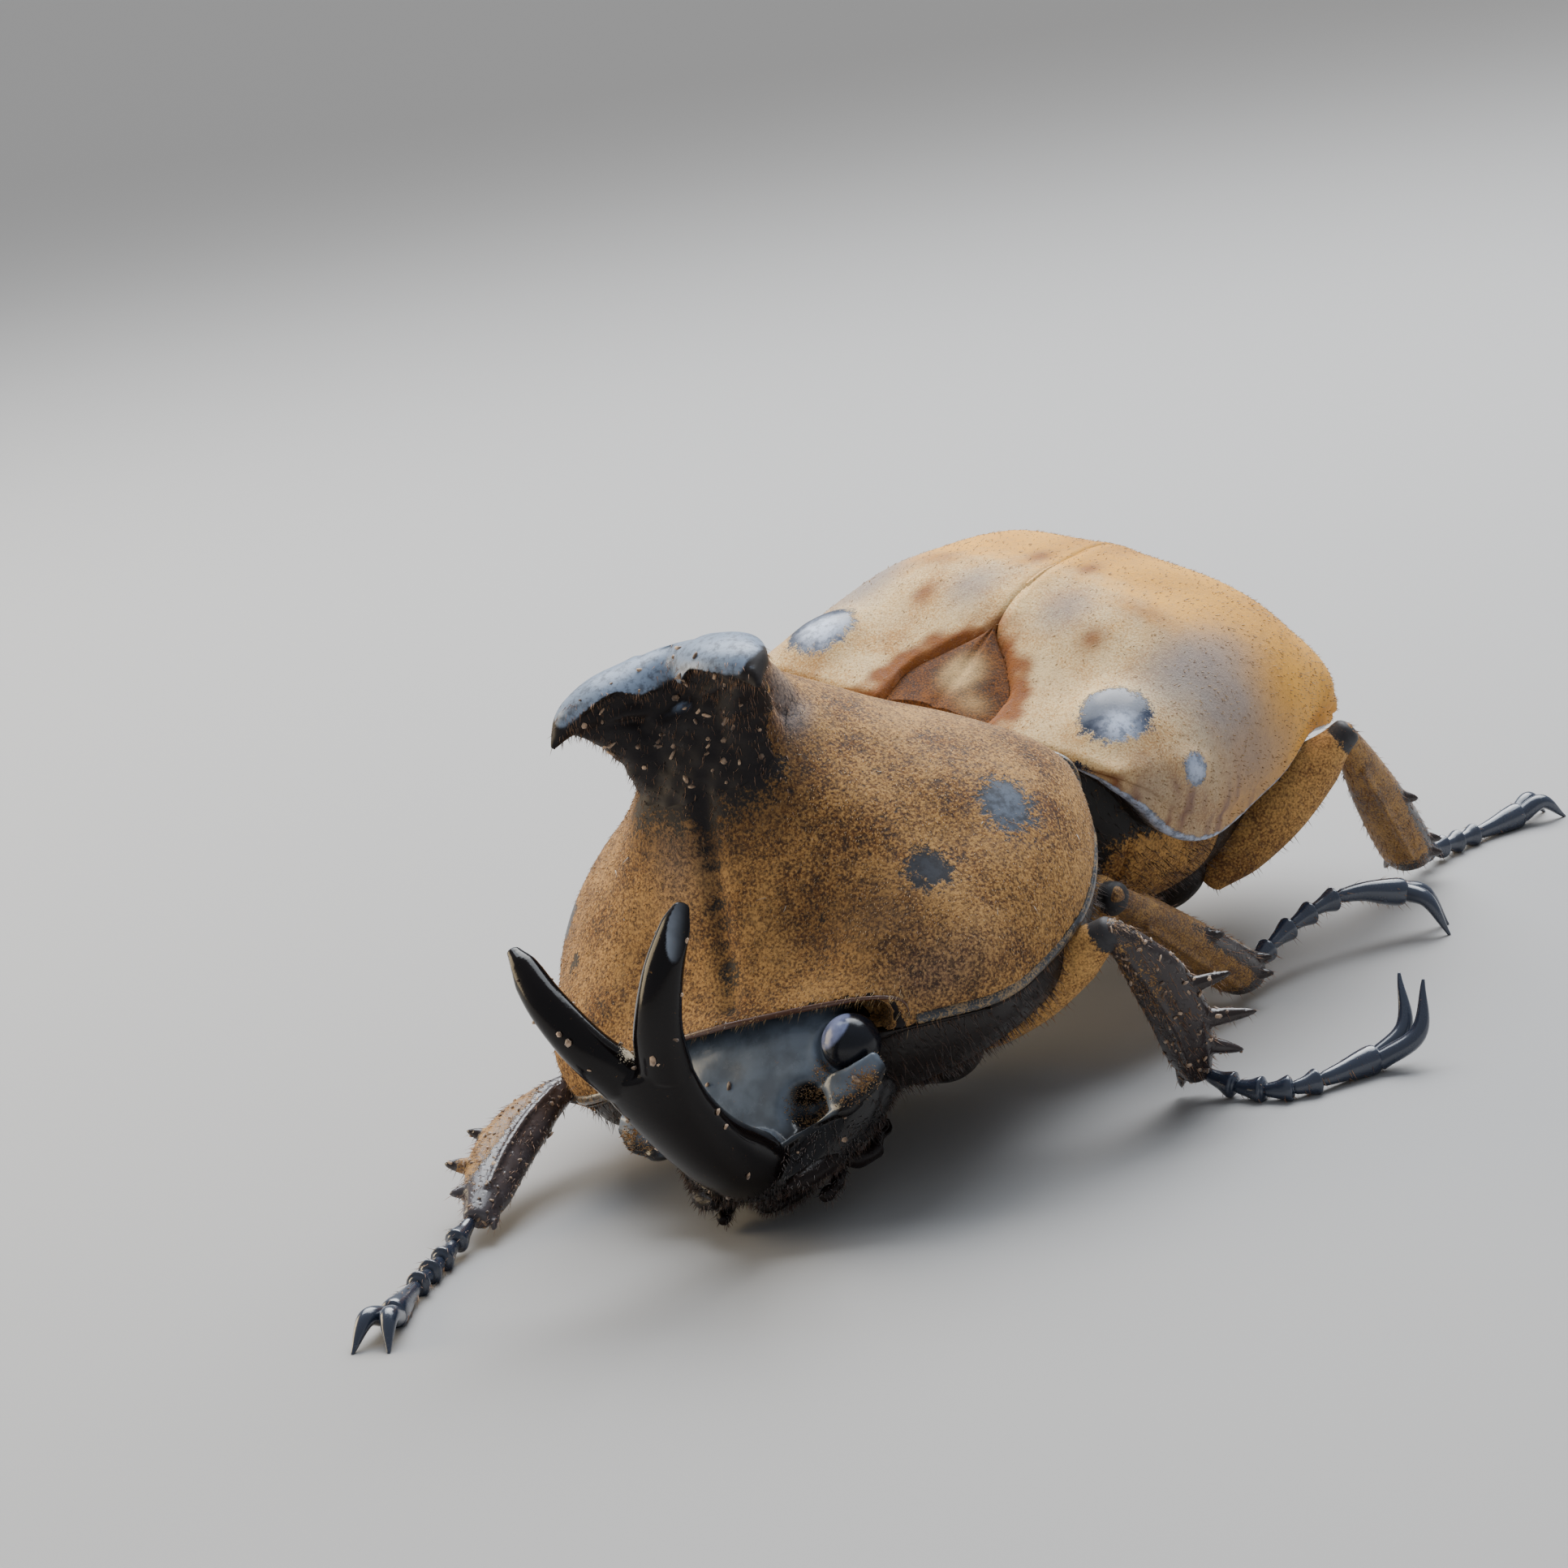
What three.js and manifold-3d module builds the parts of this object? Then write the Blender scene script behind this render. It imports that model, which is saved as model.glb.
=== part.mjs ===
// A male rhinoceros beetle of the genus Spodistes, standing, at life size.
// Millimetres, +Z up. The head points to -Y and the beetle's left is +X. The floor is Z = 0.
import * as THREE from 'three';
import { mergeVertices } from 'three/addons/utils/BufferGeometryUtils.js';
import Module from 'manifold-3d';

const wasm = await Module();
wasm.setup();

// ---------------------------------------------------------------- driving dimensions

const JOINT_GAP = 0.1;             // the gap between neighbouring plates and limbs
const rad = THREE.MathUtils.degToRad;

// The body stands on its legs: how high its frame sits, and how it leans. The hind body
// leans a little more.
const STANCE = { from: [0, 0, 0], to: [0, 0, 3.03], pitch: -4, roll: 6.8, yaw: 0 };
const HIND_LEAN = { from: [0, 0, 10], to: [0, 0, 10], pitch: 0, roll: 5, yaw: 0 };

// The prothorax turns on the waist, and the head turns in the prothorax. `from` is the
// pivot in the turned part's own frame, and `to` is its place in the frame that carries it.
const WAIST = { from: [0, 0.5, 10], to: [0.34, -1.1, 7.22], pitch: 7.15, roll: -20.1, yaw: 14.1 };
const NECK = { from: [0, -18.5, 8], to: [0.3, -17.9, 8.75], pitch: 5, roll: 0, yaw: 0.8 };

// A shell plate's section rises from its widest level to the crest, and below that level
// it tucks in to the rim. `shoulder` is how much of the way from crest to rim lies above.
const ELYTRA = {
  front: 0.9,                       // where the base hides behind the pronotum
  widest: 13,
  apex: 29.7,                       // the hind end
  thickness: 0.9,
  halfWidth: [[0.9, 11.7], [4, 13.1], [8, 13.6], [13, 13.4], [19, 11.8], [24, 9.3], [29.7, 0]],
  crest: [[0.9, 14.7], [3, 16.0], [5.6, 17.9], [8, 19.5], [11, 20.5], [17, 20.3], [23, 16.4], [27, 12.2], [29.7, 9.9]],
  rim: [[0.9, 14.0], [2.5, 12.7], [4.5, 10.6], [7, 9.6], [14, 9.1], [20, 9.8], [25, 10.0], [29.7, 9.5]],
  roundness: { side: 0.81, top: [[0.9, 0.45], [4, 0.55], [8, 0.78], [11, 0.84]] },
  shoulder: 0.84,
  rise: 1.8,                        // from the rim up to the widest level
  tuck: 0.9,                        // from the widest level in to the rim
};
const BELLY = [[0.9, 4.4], [6, 3.0], [12, 2.6], [18, 2.9], [24, 4.4], [29, 7.4]];
const THORAX_END = 12;              // hind edge of the metasternum

// Pronotum, in the frame of the prothorax. 0 is the base and 1 the front margin.
const PRONOTUM = {
  base: { crest: 1.3, rim: -1.2 },
  front: { crest: -21.6, rim: -20 },
  halfWidth: [[0, 11.6], [0.25, 13.9], [0.5, 14.5], [0.75, 13.4], [0.9, 12.1], [1, 8.6]],
  rim: [[0, 11.5], [0.25, 10.3], [0.5, 8.7], [0.75, 7.9], [0.9, 8.0], [1, 8.6]],
  crest: [[0, 15.4], [0.2, 19.8], [0.45, 21.0], [0.65, 19.1], [0.8, 16.0], [0.92, 12.5], [1, 11.1]],
  roundness: { side: 1.45, top: 0.8 },
  shoulder: 0.82,
  rise: 1.6,
  tuck: 0.5,
  hill: [[-22, 0], [-19, 0], [-17, 0.7], [-15.7, 2.4], [-14.6, 4.6], [-13, 5.4], [-10, 4.6],
    [-6, 2.2], [-2, 0.3], [1, 0]],  // what the foot of the horn adds, along Y
  hillHalfWidth: 5.3,
};
const STERNUM = [[-20, 5.4], [-17, 4.2], [-13, 3.6], [-8, 3.6], [-1, 4.8]];

// ---------------------------------------------------------------- small tools

const lerp = THREE.MathUtils.lerp;
const clamp = THREE.MathUtils.clamp;
const vec = ([x, y, z]) => new THREE.Vector3(x, y, z);
const mirrored = ([x, y, z]) => [-x, y, z];

// A smooth value through a few [place, value] pairs.
function course(pairs) {
  const slope = i => {
    const a = pairs[Math.max(i - 1, 0)];
    const b = pairs[Math.min(i + 1, pairs.length - 1)];
    return (b[1] - a[1]) / (b[0] - a[0]);
  };
  return place => {
    const at = clamp(place, pairs[0][0], pairs[pairs.length - 1][0]);
    let i = 0;
    while (i < pairs.length - 2 && at > pairs[i + 1][0]) i++;
    const [x0, y0] = pairs[i];
    const [x1, y1] = pairs[i + 1];
    const h = x1 - x0;
    const t = (at - x0) / h;
    return y0 * (1 + 2 * t) * (1 - t) ** 2 + slope(i) * h * t * (1 - t) ** 2
      + y1 * t * t * (3 - 2 * t) + slope(i + 1) * h * t * t * (t - 1);
  };
}

// A closed skin through rings of equally many points, each end drawn to its own middle.
function skin(rings) {
  const count = rings[0].length;
  const middle = ring => [0, 1, 2].map(k => ring.reduce((sum, p) => sum + p[k], 0) / count);
  const points = [...rings.flat(), middle(rings[0]), middle(rings[rings.length - 1])];
  const start = points.length - 2;
  const end = points.length - 1;
  const last = (rings.length - 1) * count;
  const faces = [];
  for (let j = 0; j < count; j++) {
    const next = (j + 1) % count;
    for (let i = 0; i < rings.length - 1; i++) {
      const a = i * count;
      const b = a + count;
      faces.push([a + j, a + next, b + next], [a + j, b + next, b + j]);
    }
    faces.push([start, next, j], [end, last + j, last + next]);
  }
  const volume = faces.reduce((sum, [a, b, c]) =>
    sum + vec(points[a]).dot(vec(points[b]).cross(vec(points[c]))), 0);
  const index = faces.flatMap(([a, b, c]) => (volume > 0 ? [a, b, c] : [a, c, b]));
  const geometry = new THREE.BufferGeometry();
  geometry.setAttribute('position', new THREE.Float32BufferAttribute(points.flat(), 3));
  geometry.setIndex(index);
  return geometry;
}

// A limb along a smooth path. Each station is [x, y, z, half width, half depth], and
// the width lies along `outward`, as far as the path lets it.
function limb(stations, { outward = [1, 0, 0], sides = 8, steps = stations.length * 2 - 2 } = {}) {
  const path = new THREE.CatmullRomCurve3(stations.map(vec));
  const place = i => i / (stations.length - 1);
  const width = course(stations.map((s, i) => [place(i), s[3]]));
  const depth = course(stations.map((s, i) => [place(i), s[4] ?? s[3]]));
  const rings = [];
  for (let i = 0; i <= steps; i++) {
    const t = i / steps;
    const centre = path.getPoint(t);
    const ahead = path.getTangent(t);
    const across = vec(outward).addScaledVector(ahead, -vec(outward).dot(ahead)).normalize();
    const up = ahead.clone().cross(across);
    rings.push(Array.from({ length: sides }, (_, j) => {
      const turn = 2 * Math.PI * (j + 0.5) / sides;
      return centre.clone()
        .addScaledVector(across, width(t) * Math.cos(turn))
        .addScaledVector(up, depth(t) * Math.sin(turn)).toArray();
    }));
  }
  return skin(rings);
}

// A copy of a geometry with its points shared between the faces.
function welded(geometry) {
  const bare = geometry.clone();
  bare.deleteAttribute('normal');
  bare.deleteAttribute('uv');
  return mergeVertices(bare, 1e-5);
}

function toSolid(geometry) {
  const merged = welded(geometry);
  return new wasm.Manifold(new wasm.Mesh({
    numProp: 3,
    vertProperties: new Float32Array(merged.attributes.position.array),
    triVerts: new Uint32Array(merged.index.array),
  }));
}

// The largest body of a solid, as a geometry.
function toGeometry(solid) {
  const bodies = solid.decompose();
  const mesh = bodies.reduce((a, b) => (b.volume() > a.volume() ? b : a)).getMesh();
  const geometry = new THREE.BufferGeometry();
  geometry.setAttribute('position', new THREE.BufferAttribute(mesh.vertProperties.slice(), 3));
  geometry.setIndex(new THREE.BufferAttribute(mesh.triVerts.slice(), 1));
  return geometry;
}

const join = (first, ...others) =>
  toGeometry(others.reduce((sum, part) => sum.add(toSolid(part)), toSolid(first)));
const cut = (first, ...others) =>
  toGeometry(others.reduce((rest, part) => rest.subtract(toSolid(part)), toSolid(first)));
const common = (a, b) => toGeometry(toSolid(a).intersect(toSolid(b)));
const moved = (geometry, matrix) => geometry.clone().applyMatrix4(matrix);
const reflected = geometry => {
  const copy = welded(geometry).scale(-1, 1, 1);
  const index = copy.index.array;
  for (let i = 0; i < index.length; i += 3) [index[i], index[i + 1]] = [index[i + 1], index[i]];
  return copy;
};

// The same shape with its skin moved out by the joint gap.
function grown(geometry, by = JOINT_GAP) {
  const copy = welded(geometry);
  copy.computeVertexNormals();
  const { position, normal } = copy.attributes;
  for (let i = 0; i < position.count; i++) {
    position.setXYZ(i, position.getX(i) + by * normal.getX(i),
      position.getY(i) + by * normal.getY(i), position.getZ(i) + by * normal.getZ(i));
  }
  return copy;
}

// ---------------------------------------------------------------- frames

function placed({ from, to, pitch, roll, yaw }) {
  const turn = new THREE.Matrix4().makeRotationFromEuler(
    new THREE.Euler(rad(pitch), rad(roll), rad(yaw), 'ZYX'));
  return new THREE.Matrix4().makeTranslation(...to)
    .multiply(turn).multiply(new THREE.Matrix4().makeTranslation(...from.map(v => -v)));
}
const BODY = placed(STANCE);
const HIND = BODY.clone().multiply(placed(HIND_LEAN));
const FORE = BODY.clone().multiply(placed(WAIST));
const HEAD = FORE.clone().multiply(placed(NECK));
const within = (point, frame) => vec(point).applyMatrix4(frame).toArray();

// ---------------------------------------------------------------- shell plates

// A point of a shell plate's section, as [sideways, up]: 0 is the crest and 1 the rim.
function sectionPoint(around, half, crest, rim, { roundness, shoulder, rise, tuck }) {
  const lift = Math.min(rise, 0.3 * (crest - rim));
  const level = rim + lift;
  if (around <= shoulder) {
    const turn = around / shoulder * Math.PI / 2;
    return [half * Math.sin(turn) ** roundness.side,
      level + (crest - level) * Math.cos(turn) ** roundness.top];
  }
  const turn = (around - shoulder) / (1 - shoulder) * Math.PI / 2;
  return [half - Math.min(tuck, 0.3 * half) * (1 - Math.cos(turn)), level - lift * Math.sin(turn)];
}

const elytraHalf = course(ELYTRA.halfWidth);
const elytraCrest = course(ELYTRA.crest);
const elytraRim = course(ELYTRA.rim);
const elytraTop = course(ELYTRA.roundness.top);   // the base is squarer than the rest
const bellyLine = course(BELLY);
const ROUND_END = 24;               // from here the elytra close in a round end

function elytraHalfWidth(y) {
  if (y <= ROUND_END) return elytraHalf(y);
  const along = (y - ROUND_END) / (ELYTRA.apex - ROUND_END);
  return elytraHalf(ROUND_END) * Math.sqrt(Math.max(1 - along * along, 0));
}

// A point of the left elytron: 0 is the suture and 1 the rim; `inset` goes inwards.
function elytraPoint(y, around, inset = 0) {
  const shrink = 1 - inset / (ELYTRA.apex - ELYTRA.widest);
  const place = y > ELYTRA.widest ? ELYTRA.widest + (y - ELYTRA.widest) * shrink : y;
  const half = Math.max(elytraHalfWidth(y) - inset, 0.02);
  const rim = elytraRim(y);
  const crest = Math.max(elytraCrest(y) - inset, rim + 0.02);
  const [x, z] = sectionPoint(around, half, crest, rim,
    { ...ELYTRA, roundness: { side: ELYTRA.roundness.side, top: elytraTop(y) } });
  return [x, place, z];
}

// Stations along the elytra, closer together where the end rounds off.
const stations = (from, to, steps) => Array.from({ length: steps + 1 }, (_, i) => {
  const turn = i / steps * Math.PI / 2;
  return lerp(from, to, lerp(i / steps, Math.sin(turn), 0.6));
});

function elytron() {
  const seam = JOINT_GAP / 2;
  const count = 8;
  return skin(stations(ELYTRA.front, ELYTRA.apex - 0.02, 11).map(y => {
    const outer = Array.from({ length: count }, (_, j) => elytraPoint(y, j / (count - 1)));
    const inner = Array.from({ length: count }, (_, j) =>
      elytraPoint(y, 1 - j / (count - 1), ELYTRA.thickness));
    return [...outer, ...inner].map(([x, yy, z]) => [x + seam, yy, z]);
  }));
}

// The body under the elytra: their inner face above, the sternites below.
function bodyUnderElytra(from, to, steps) {
  const inset = ELYTRA.thickness + 0.65;
  const count = 5;
  return skin(stations(from, to, steps).map(y => {
    const ring = [];
    for (let j = 0; j < count; j++) ring.push(elytraPoint(y, 1 - j / count, inset));
    for (let j = 0; j <= count; j++) ring.push(mirrored(elytraPoint(y, j / count, inset)));
    const [half, place, rim] = elytraPoint(y, 1, inset);
    for (let j = 1; j < 2 * count - 2; j++) {
      const turn = Math.PI * j / (2 * count - 2);
      const drop = Math.max(rim - bellyLine(y), 0.3) * Math.sin(turn) ** 0.7;
      ring.push([-half * Math.cos(turn), place, rim - drop]);
    }
    return ring;
  }));
}

// The waist is the narrow front of the thorax, held in the opening of the prothorax.
const waist = () => limb([[0, 3.5, 8.8, 8.4, 4.3], [0, 0.6, 8.8, 8.4, 4.3], [0, -2.6, 8.4, 7.4, 3.6]],
  { sides: 8, steps: 2 });

// The scutellum is a small shield between the bases of the elytra.
const scutellum = () => skin([[1.2, 3.4], [3.0, 3.3], [4.6, 1.9], [5.8, 0.3]].map(([y, half]) => {
  const z = elytraCrest(y);
  return [[half, y, z - 0.45], [half * 0.5, y, z - 0.05], [0, y, z + 0.15], [-half * 0.5, y, z - 0.05],
    [-half, y, z - 0.45], [-half, y, z - 1.5], [half, y, z - 1.5]];
}));

// The pygidium is the part of the hind end behind a slanting cut.
function hindBlock() {
  const block = new THREE.BoxGeometry(40, 20, 30);
  block.translate(0, 10, 0).rotateX(rad(-28)).translate(0, 26.4, 9);
  return block;
}

// ---------------------------------------------------------------- prothorax

const pronotumHalf = course(PRONOTUM.halfWidth);
const pronotumRim = course(PRONOTUM.rim);
const pronotumCrest = course(PRONOTUM.crest);
const pronotumHill = course(PRONOTUM.hill);
const sternumLine = course(STERNUM);

// A point of the pronotum: `along` runs from its base (0) to its front margin (1), and
// `around` from the left rim (-1) over the crest (0) to the right rim (1).
function pronotumPoint(along, around) {
  const { base, front, shoulder, hillHalfWidth } = PRONOTUM;
  const [half, z] = sectionPoint(Math.abs(around), pronotumHalf(along), pronotumCrest(along),
    pronotumRim(along), PRONOTUM);
  const x = -half * Math.sign(around);
  const side = Math.sin(Math.min(Math.abs(around) / shoulder, 1) * Math.PI / 2) ** 2;
  const y = lerp(lerp(base.crest, front.crest, along), lerp(base.rim, front.rim, along), side);
  const hill = pronotumHill(y) * Math.exp(-(Math.abs(x / hillHalfWidth) ** 2.2));
  return [x, y, z + hill];
}

// The line where the pronotum rests on the prosternum, from the right rim to the left.
const PLEURA_STEPS = 5;
function pleuraPoint(along, step) {
  const [half, y, rim] = pronotumPoint(along, 1);
  if (step === 0) return [-Math.abs(half), y, rim];
  if (step === PLEURA_STEPS) return [Math.abs(half), y, rim];
  const turn = Math.PI * step / PLEURA_STEPS;
  const [, crestY] = pronotumPoint(along, 0);
  return [half * Math.cos(turn), lerp(y, crestY, Math.sin(turn)), rim - 0.35 + Math.sin(turn)];
}

const ALONG_STEPS = 13;
function pronotum(aroundSteps = 16) {
  return skin(Array.from({ length: ALONG_STEPS + 1 }, (_, i) => {
    const along = i / ALONG_STEPS;
    const ring = [];
    for (let j = 0; j <= aroundSteps; j++) ring.push(pronotumPoint(along, 2 * j / aroundSteps - 1));
    for (let j = 1; j < PLEURA_STEPS; j++) ring.push(pleuraPoint(along, j));
    return ring;
  }));
}

function prosternum() {
  return skin(Array.from({ length: ALONG_STEPS - 1 }, (_, i) => {
    const along = (i + 1) / ALONG_STEPS;
    const ring = [];
    for (let j = 0; j <= PLEURA_STEPS; j++) {
      const [x, y, z] = pleuraPoint(along, j);
      ring.push([x, y, z - JOINT_GAP]);
    }
    const [x, y, rim] = pronotumPoint(along, 1);
    for (let j = 1; j < 8; j++) {
      const turn = Math.PI * j / 8;
      const drop = Math.min(rim - sternumLine(y), 7) * Math.sin(turn) ** 0.8;
      ring.push([Math.abs(x) * 0.97 * Math.cos(turn), y, rim - JOINT_GAP - drop]);
    }
    return ring;
  }));
}

// The horn of the pronotum: a plate that overhangs the front face, with two tines that
// point forwards and outwards, a little hooked.
const thoracicHorn = () => limb([
  [0, -9.2, 19.5, 4.5, 3.8], [0, -11.0, 22.8, 4.3, 3.0], [0, -12.7, 25.1, 4.3, 2.1],
  [0, -14.6, 26.0, 4.2, 1.2],
], { sides: 8, steps: 5 });
const thoracicTine = () => limb([
  [1.9, -13.0, 25.9, 2.1, 1.5], [3.8, -14.2, 26.1, 1.9, 1.15], [5.1, -15.2, 25.9, 1.2, 0.8],
  [5.8, -16.1, 25.3, 0.3, 0.3],
], { sides: 7, steps: 5, outward: [0.4, 1, 0] });

// ---------------------------------------------------------------- head

// Stations of the head capsule along Y: [half width, top, bottom].
const HEAD_HALF = course([[-27, 1.6], [-26, 3.2], [-24.4, 4.6], [-22.5, 5.5], [-20, 5.8], [-17.5, 5.2]]);
const HEAD_TOP = course([[-27, 4.9], [-26, 5.3], [-24.6, 6.6], [-23, 8.4], [-21, 9.9], [-19, 10.4], [-17.5, 10.2]]);
const HEAD_BOTTOM = course([[-27, 4.1], [-26, 3.6], [-24, 3.0], [-20, 2.9], [-17.5, 3.4]]);

function headCapsule() {
  const [rings, sides] = [8, 10];
  return skin(Array.from({ length: rings + 1 }, (_, i) => {
    const y = lerp(-27, -17.5, i / rings);
    const level = lerp(HEAD_BOTTOM(y), HEAD_TOP(y), 0.5);
    return Array.from({ length: sides }, (_, j) => {
      const turn = 2 * Math.PI * (j + 0.5) / sides;
      const up = Math.sin(turn);
      const side = Math.cos(turn);
      return [HEAD_HALF(y) * Math.sign(side) * Math.abs(side) ** 0.75, y,
        level + (HEAD_TOP(y) - level) * Math.sign(up) * Math.abs(up) ** 0.7];
    });
  }));
}

const EYE = { at: [5.55, -22.1, 8.3], radius: 1.4 };
function eye() {
  return new THREE.IcosahedronGeometry(EYE.radius, 1).translate(...EYE.at);
}
// The canthus is the ridge of the head that runs into the front of the eye.
const canthus = () => limb([[4.0, -24.4, 6.6, 0.7, 0.8], [5.6, -24.1, 7.0, 0.55, 0.8],
  [6.6, -23.2, 7.4, 0.5, 0.7], [7.0, -22.2, 7.6, 0.35, 0.45]], { outward: [0.5, 1, 0], sides: 5, steps: 4 });

const headHornStem = () => limb([[0, -23.4, 4.4, 2.6, 1.6], [0, -25.6, 5.0, 2.3, 1.7],
  [0, -27.9, 7.4, 2.0, 1.5], [0, -29.6, 10.6, 2.1, 1.25], [0, -30.3, 13.2, 2.5, 1.05]],
{ sides: 8, steps: 6 });
const headHornTine = () => limb([[1.1, -30.2, 12.9, 1.35, 1.05], [2.0, -30.5, 15.0, 1.15, 0.95],
  [3.2, -29.9, 17.3, 0.95, 0.85], [4.3, -28.7, 19.1, 0.65, 0.65], [4.75, -28.1, 19.9, 0.25, 0.3]],
{ sides: 7, steps: 6 });

// An antenna is a stout scape, a thin funicle and a club, folded under the cheek.
const antenna = () => join(
  limb([[3.5, -23.7, 3.3, 0.4], [3.9, -22.7, 2.75, 0.38], [4.0, -21.9, 2.65, 0.42]],
    { outward: [0, 0, 1], sides: 4, steps: 2 }),
  limb([[4.0, -22.1, 2.65, 0.32], [3.8, -21.2, 2.65, 0.32], [3.6, -20.4, 2.65, 0.32]],
    { outward: [0, 0, 1], sides: 4, steps: 2 }),
  limb([[3.6, -20.7, 2.65, 0.4, 0.4], [3.4, -19.8, 2.6, 0.55, 0.8], [3.2, -18.8, 2.7, 0.35, 0.45]],
    { outward: [0, 0, 1], sides: 5, steps: 3 }));
const mandible = () => limb([[2.8, -23.2, 4.2, 0.9, 0.7], [3.3, -24.9, 4.2, 0.85, 0.6],
  [2.9, -26.3, 4.2, 0.5, 0.45], [2.1, -26.9, 4.2, 0.28, 0.28]], { outward: [1, 0, 0], sides: 6, steps: 4 });
const maxilla = () => limb([[2.2, -22.6, 3.0, 0.55, 0.5], [2.9, -23.9, 2.8, 0.4, 0.4],
  [3.1, -25.0, 2.75, 0.34, 0.34], [2.8, -25.8, 2.75, 0.28, 0.28]], { sides: 5, steps: 4 });
const labium = () => limb([[0, -20.8, 2.8, 1.5, 0.4], [0, -22.8, 2.6, 1.6, 0.5], [0, -24.8, 2.7, 1.3, 0.45],
  [0, -25.9, 2.9, 0.7, 0.3]], { sides: 6, steps: 3 });

// ---------------------------------------------------------------- legs

// Each leg by its joints, on the floor frame: hip, knee, ankle, then the path of the
// tarsus to its last joint, and the tips of its claws. `outward` is the side of the tibia
// that bears the teeth.
const LEGS = {
  front_left: {
    coxa: within([4.2, -12.6, 3.9], FORE), knee: [19.2, -7.8, 10.1], ankle: [19.6, -2.7, 1.2],
    toes: [[21.9, -2.6, 0.6], [24.3, -1.9, 0.56], [26.4, 2.5, 0.7]], claw: [27.2, 5.0, 4.0],
    outward: [0.8, 0.5, 0.2], teeth: true, raised: true,
  },
  front_right: {
    coxa: within([-4.2, -12.6, 3.9], FORE), knee: [-7.2, -19.0, 3.8], ankle: [-4.6, -29.3, 1.25],
    toes: [[-3.7, -32.3, 0.6], [-2.4, -35.5, 0.56], [-0.8, -38.7, 0.62]], claw: [0.2, -41.1, 0.05],
    outward: [-0.8, -0.3, 0.3], teeth: true,
  },
  middle_left: {
    coxa: within([5.5, 4.0, 3.6], HIND), knee: [14.0, -0.3, 9.0], ankle: [13.9, 9.4, 1.45],
    toes: [[14.2, 13.8, 2.7], [15.2, 17.6, 3.2], [16.8, 20.7, 2.4]], claw: [18.4, 21.8, 0.05],
    outward: [1, 0.2, 0.3],
  },
  middle_right: {
    coxa: within([-5.5, 4.0, 3.6], HIND), knee: [-13.8, 1.6, 10.6], ankle: [-18.0, 9.0, 1.5],
    toes: [[-19.6, 12.4, 0.8], [-21.0, 15.8, 0.56], [-22.2, 18.6, 0.7]], claw: [-23.0, 20.8, 0.05],
    outward: [-1, 0, 0.4],
  },
  hind_left: {
    coxa: within([6.6, 12.4, 3.6], HIND), knee: [14.1, 20.8, 11.0], ankle: [11.8, 28.9, 1.5],
    toes: [[11.6, 32.3, 0.8], [12.0, 35.9, 0.56], [12.8, 38.9, 0.7]], claw: [13.6, 41.1, 0.05],
    outward: [1, 0.3, 0.3],
  },
  hind_right: {
    coxa: within([-6.6, 12.4, 3.6], HIND), knee: [-12.8, 20.8, 12.0], ankle: [-14.8, 28.3, 1.55],
    toes: [[-15.6, 31.6, 0.8], [-16.8, 35.0, 0.56], [-18.0, 38.0, 0.7]], claw: [-19.0, 40.2, 0.05],
    outward: [-1, 0.3, 0.3],
  },
};

const between = (a, b, t) => a.map((v, k) => lerp(v, b[k], t));

// A straight limb from a to b, with [place, half width, half depth] along it.
const segment = (a, b, sizes, options) =>
  limb(sizes.map(([t, wide, deep]) => [...between(a, b, t), wide, deep]), options);

const coxa = leg => segment(leg.coxa, between(leg.coxa, leg.knee, 0.24),
  [[-0.3, 1.0, 0.9], [0.2, 1.7, 1.5], [0.7, 1.6, 1.4], [1.1, 0.7, 0.6]],
  { outward: leg.outward, sides: 6, steps: 3 });

const femur = leg => segment(between(leg.coxa, leg.knee, 0.16), leg.knee,
  [[0, 0.8, 0.7], [0.2, 1.5, 1.2], [0.5, 1.75, 1.35], [0.8, 1.4, 1.1], [1.02, 0.75, 0.7]],
  { outward: [0, 0.2, 1], sides: 6, steps: 5 });

// A spine or tooth, from its root along a direction.
const spine = (root, way, length, thick) => {
  const ahead = vec(way).setLength(length).toArray();
  const at = t => root.map((v, k) => v + ahead[k] * t);
  return limb([[...at(-0.4), thick * 1.2], [...at(1), thick * 0.2]],
    { outward: [ahead[1] + 0.01, ahead[2], ahead[0]], sides: 4, steps: 1 });
};

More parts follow.
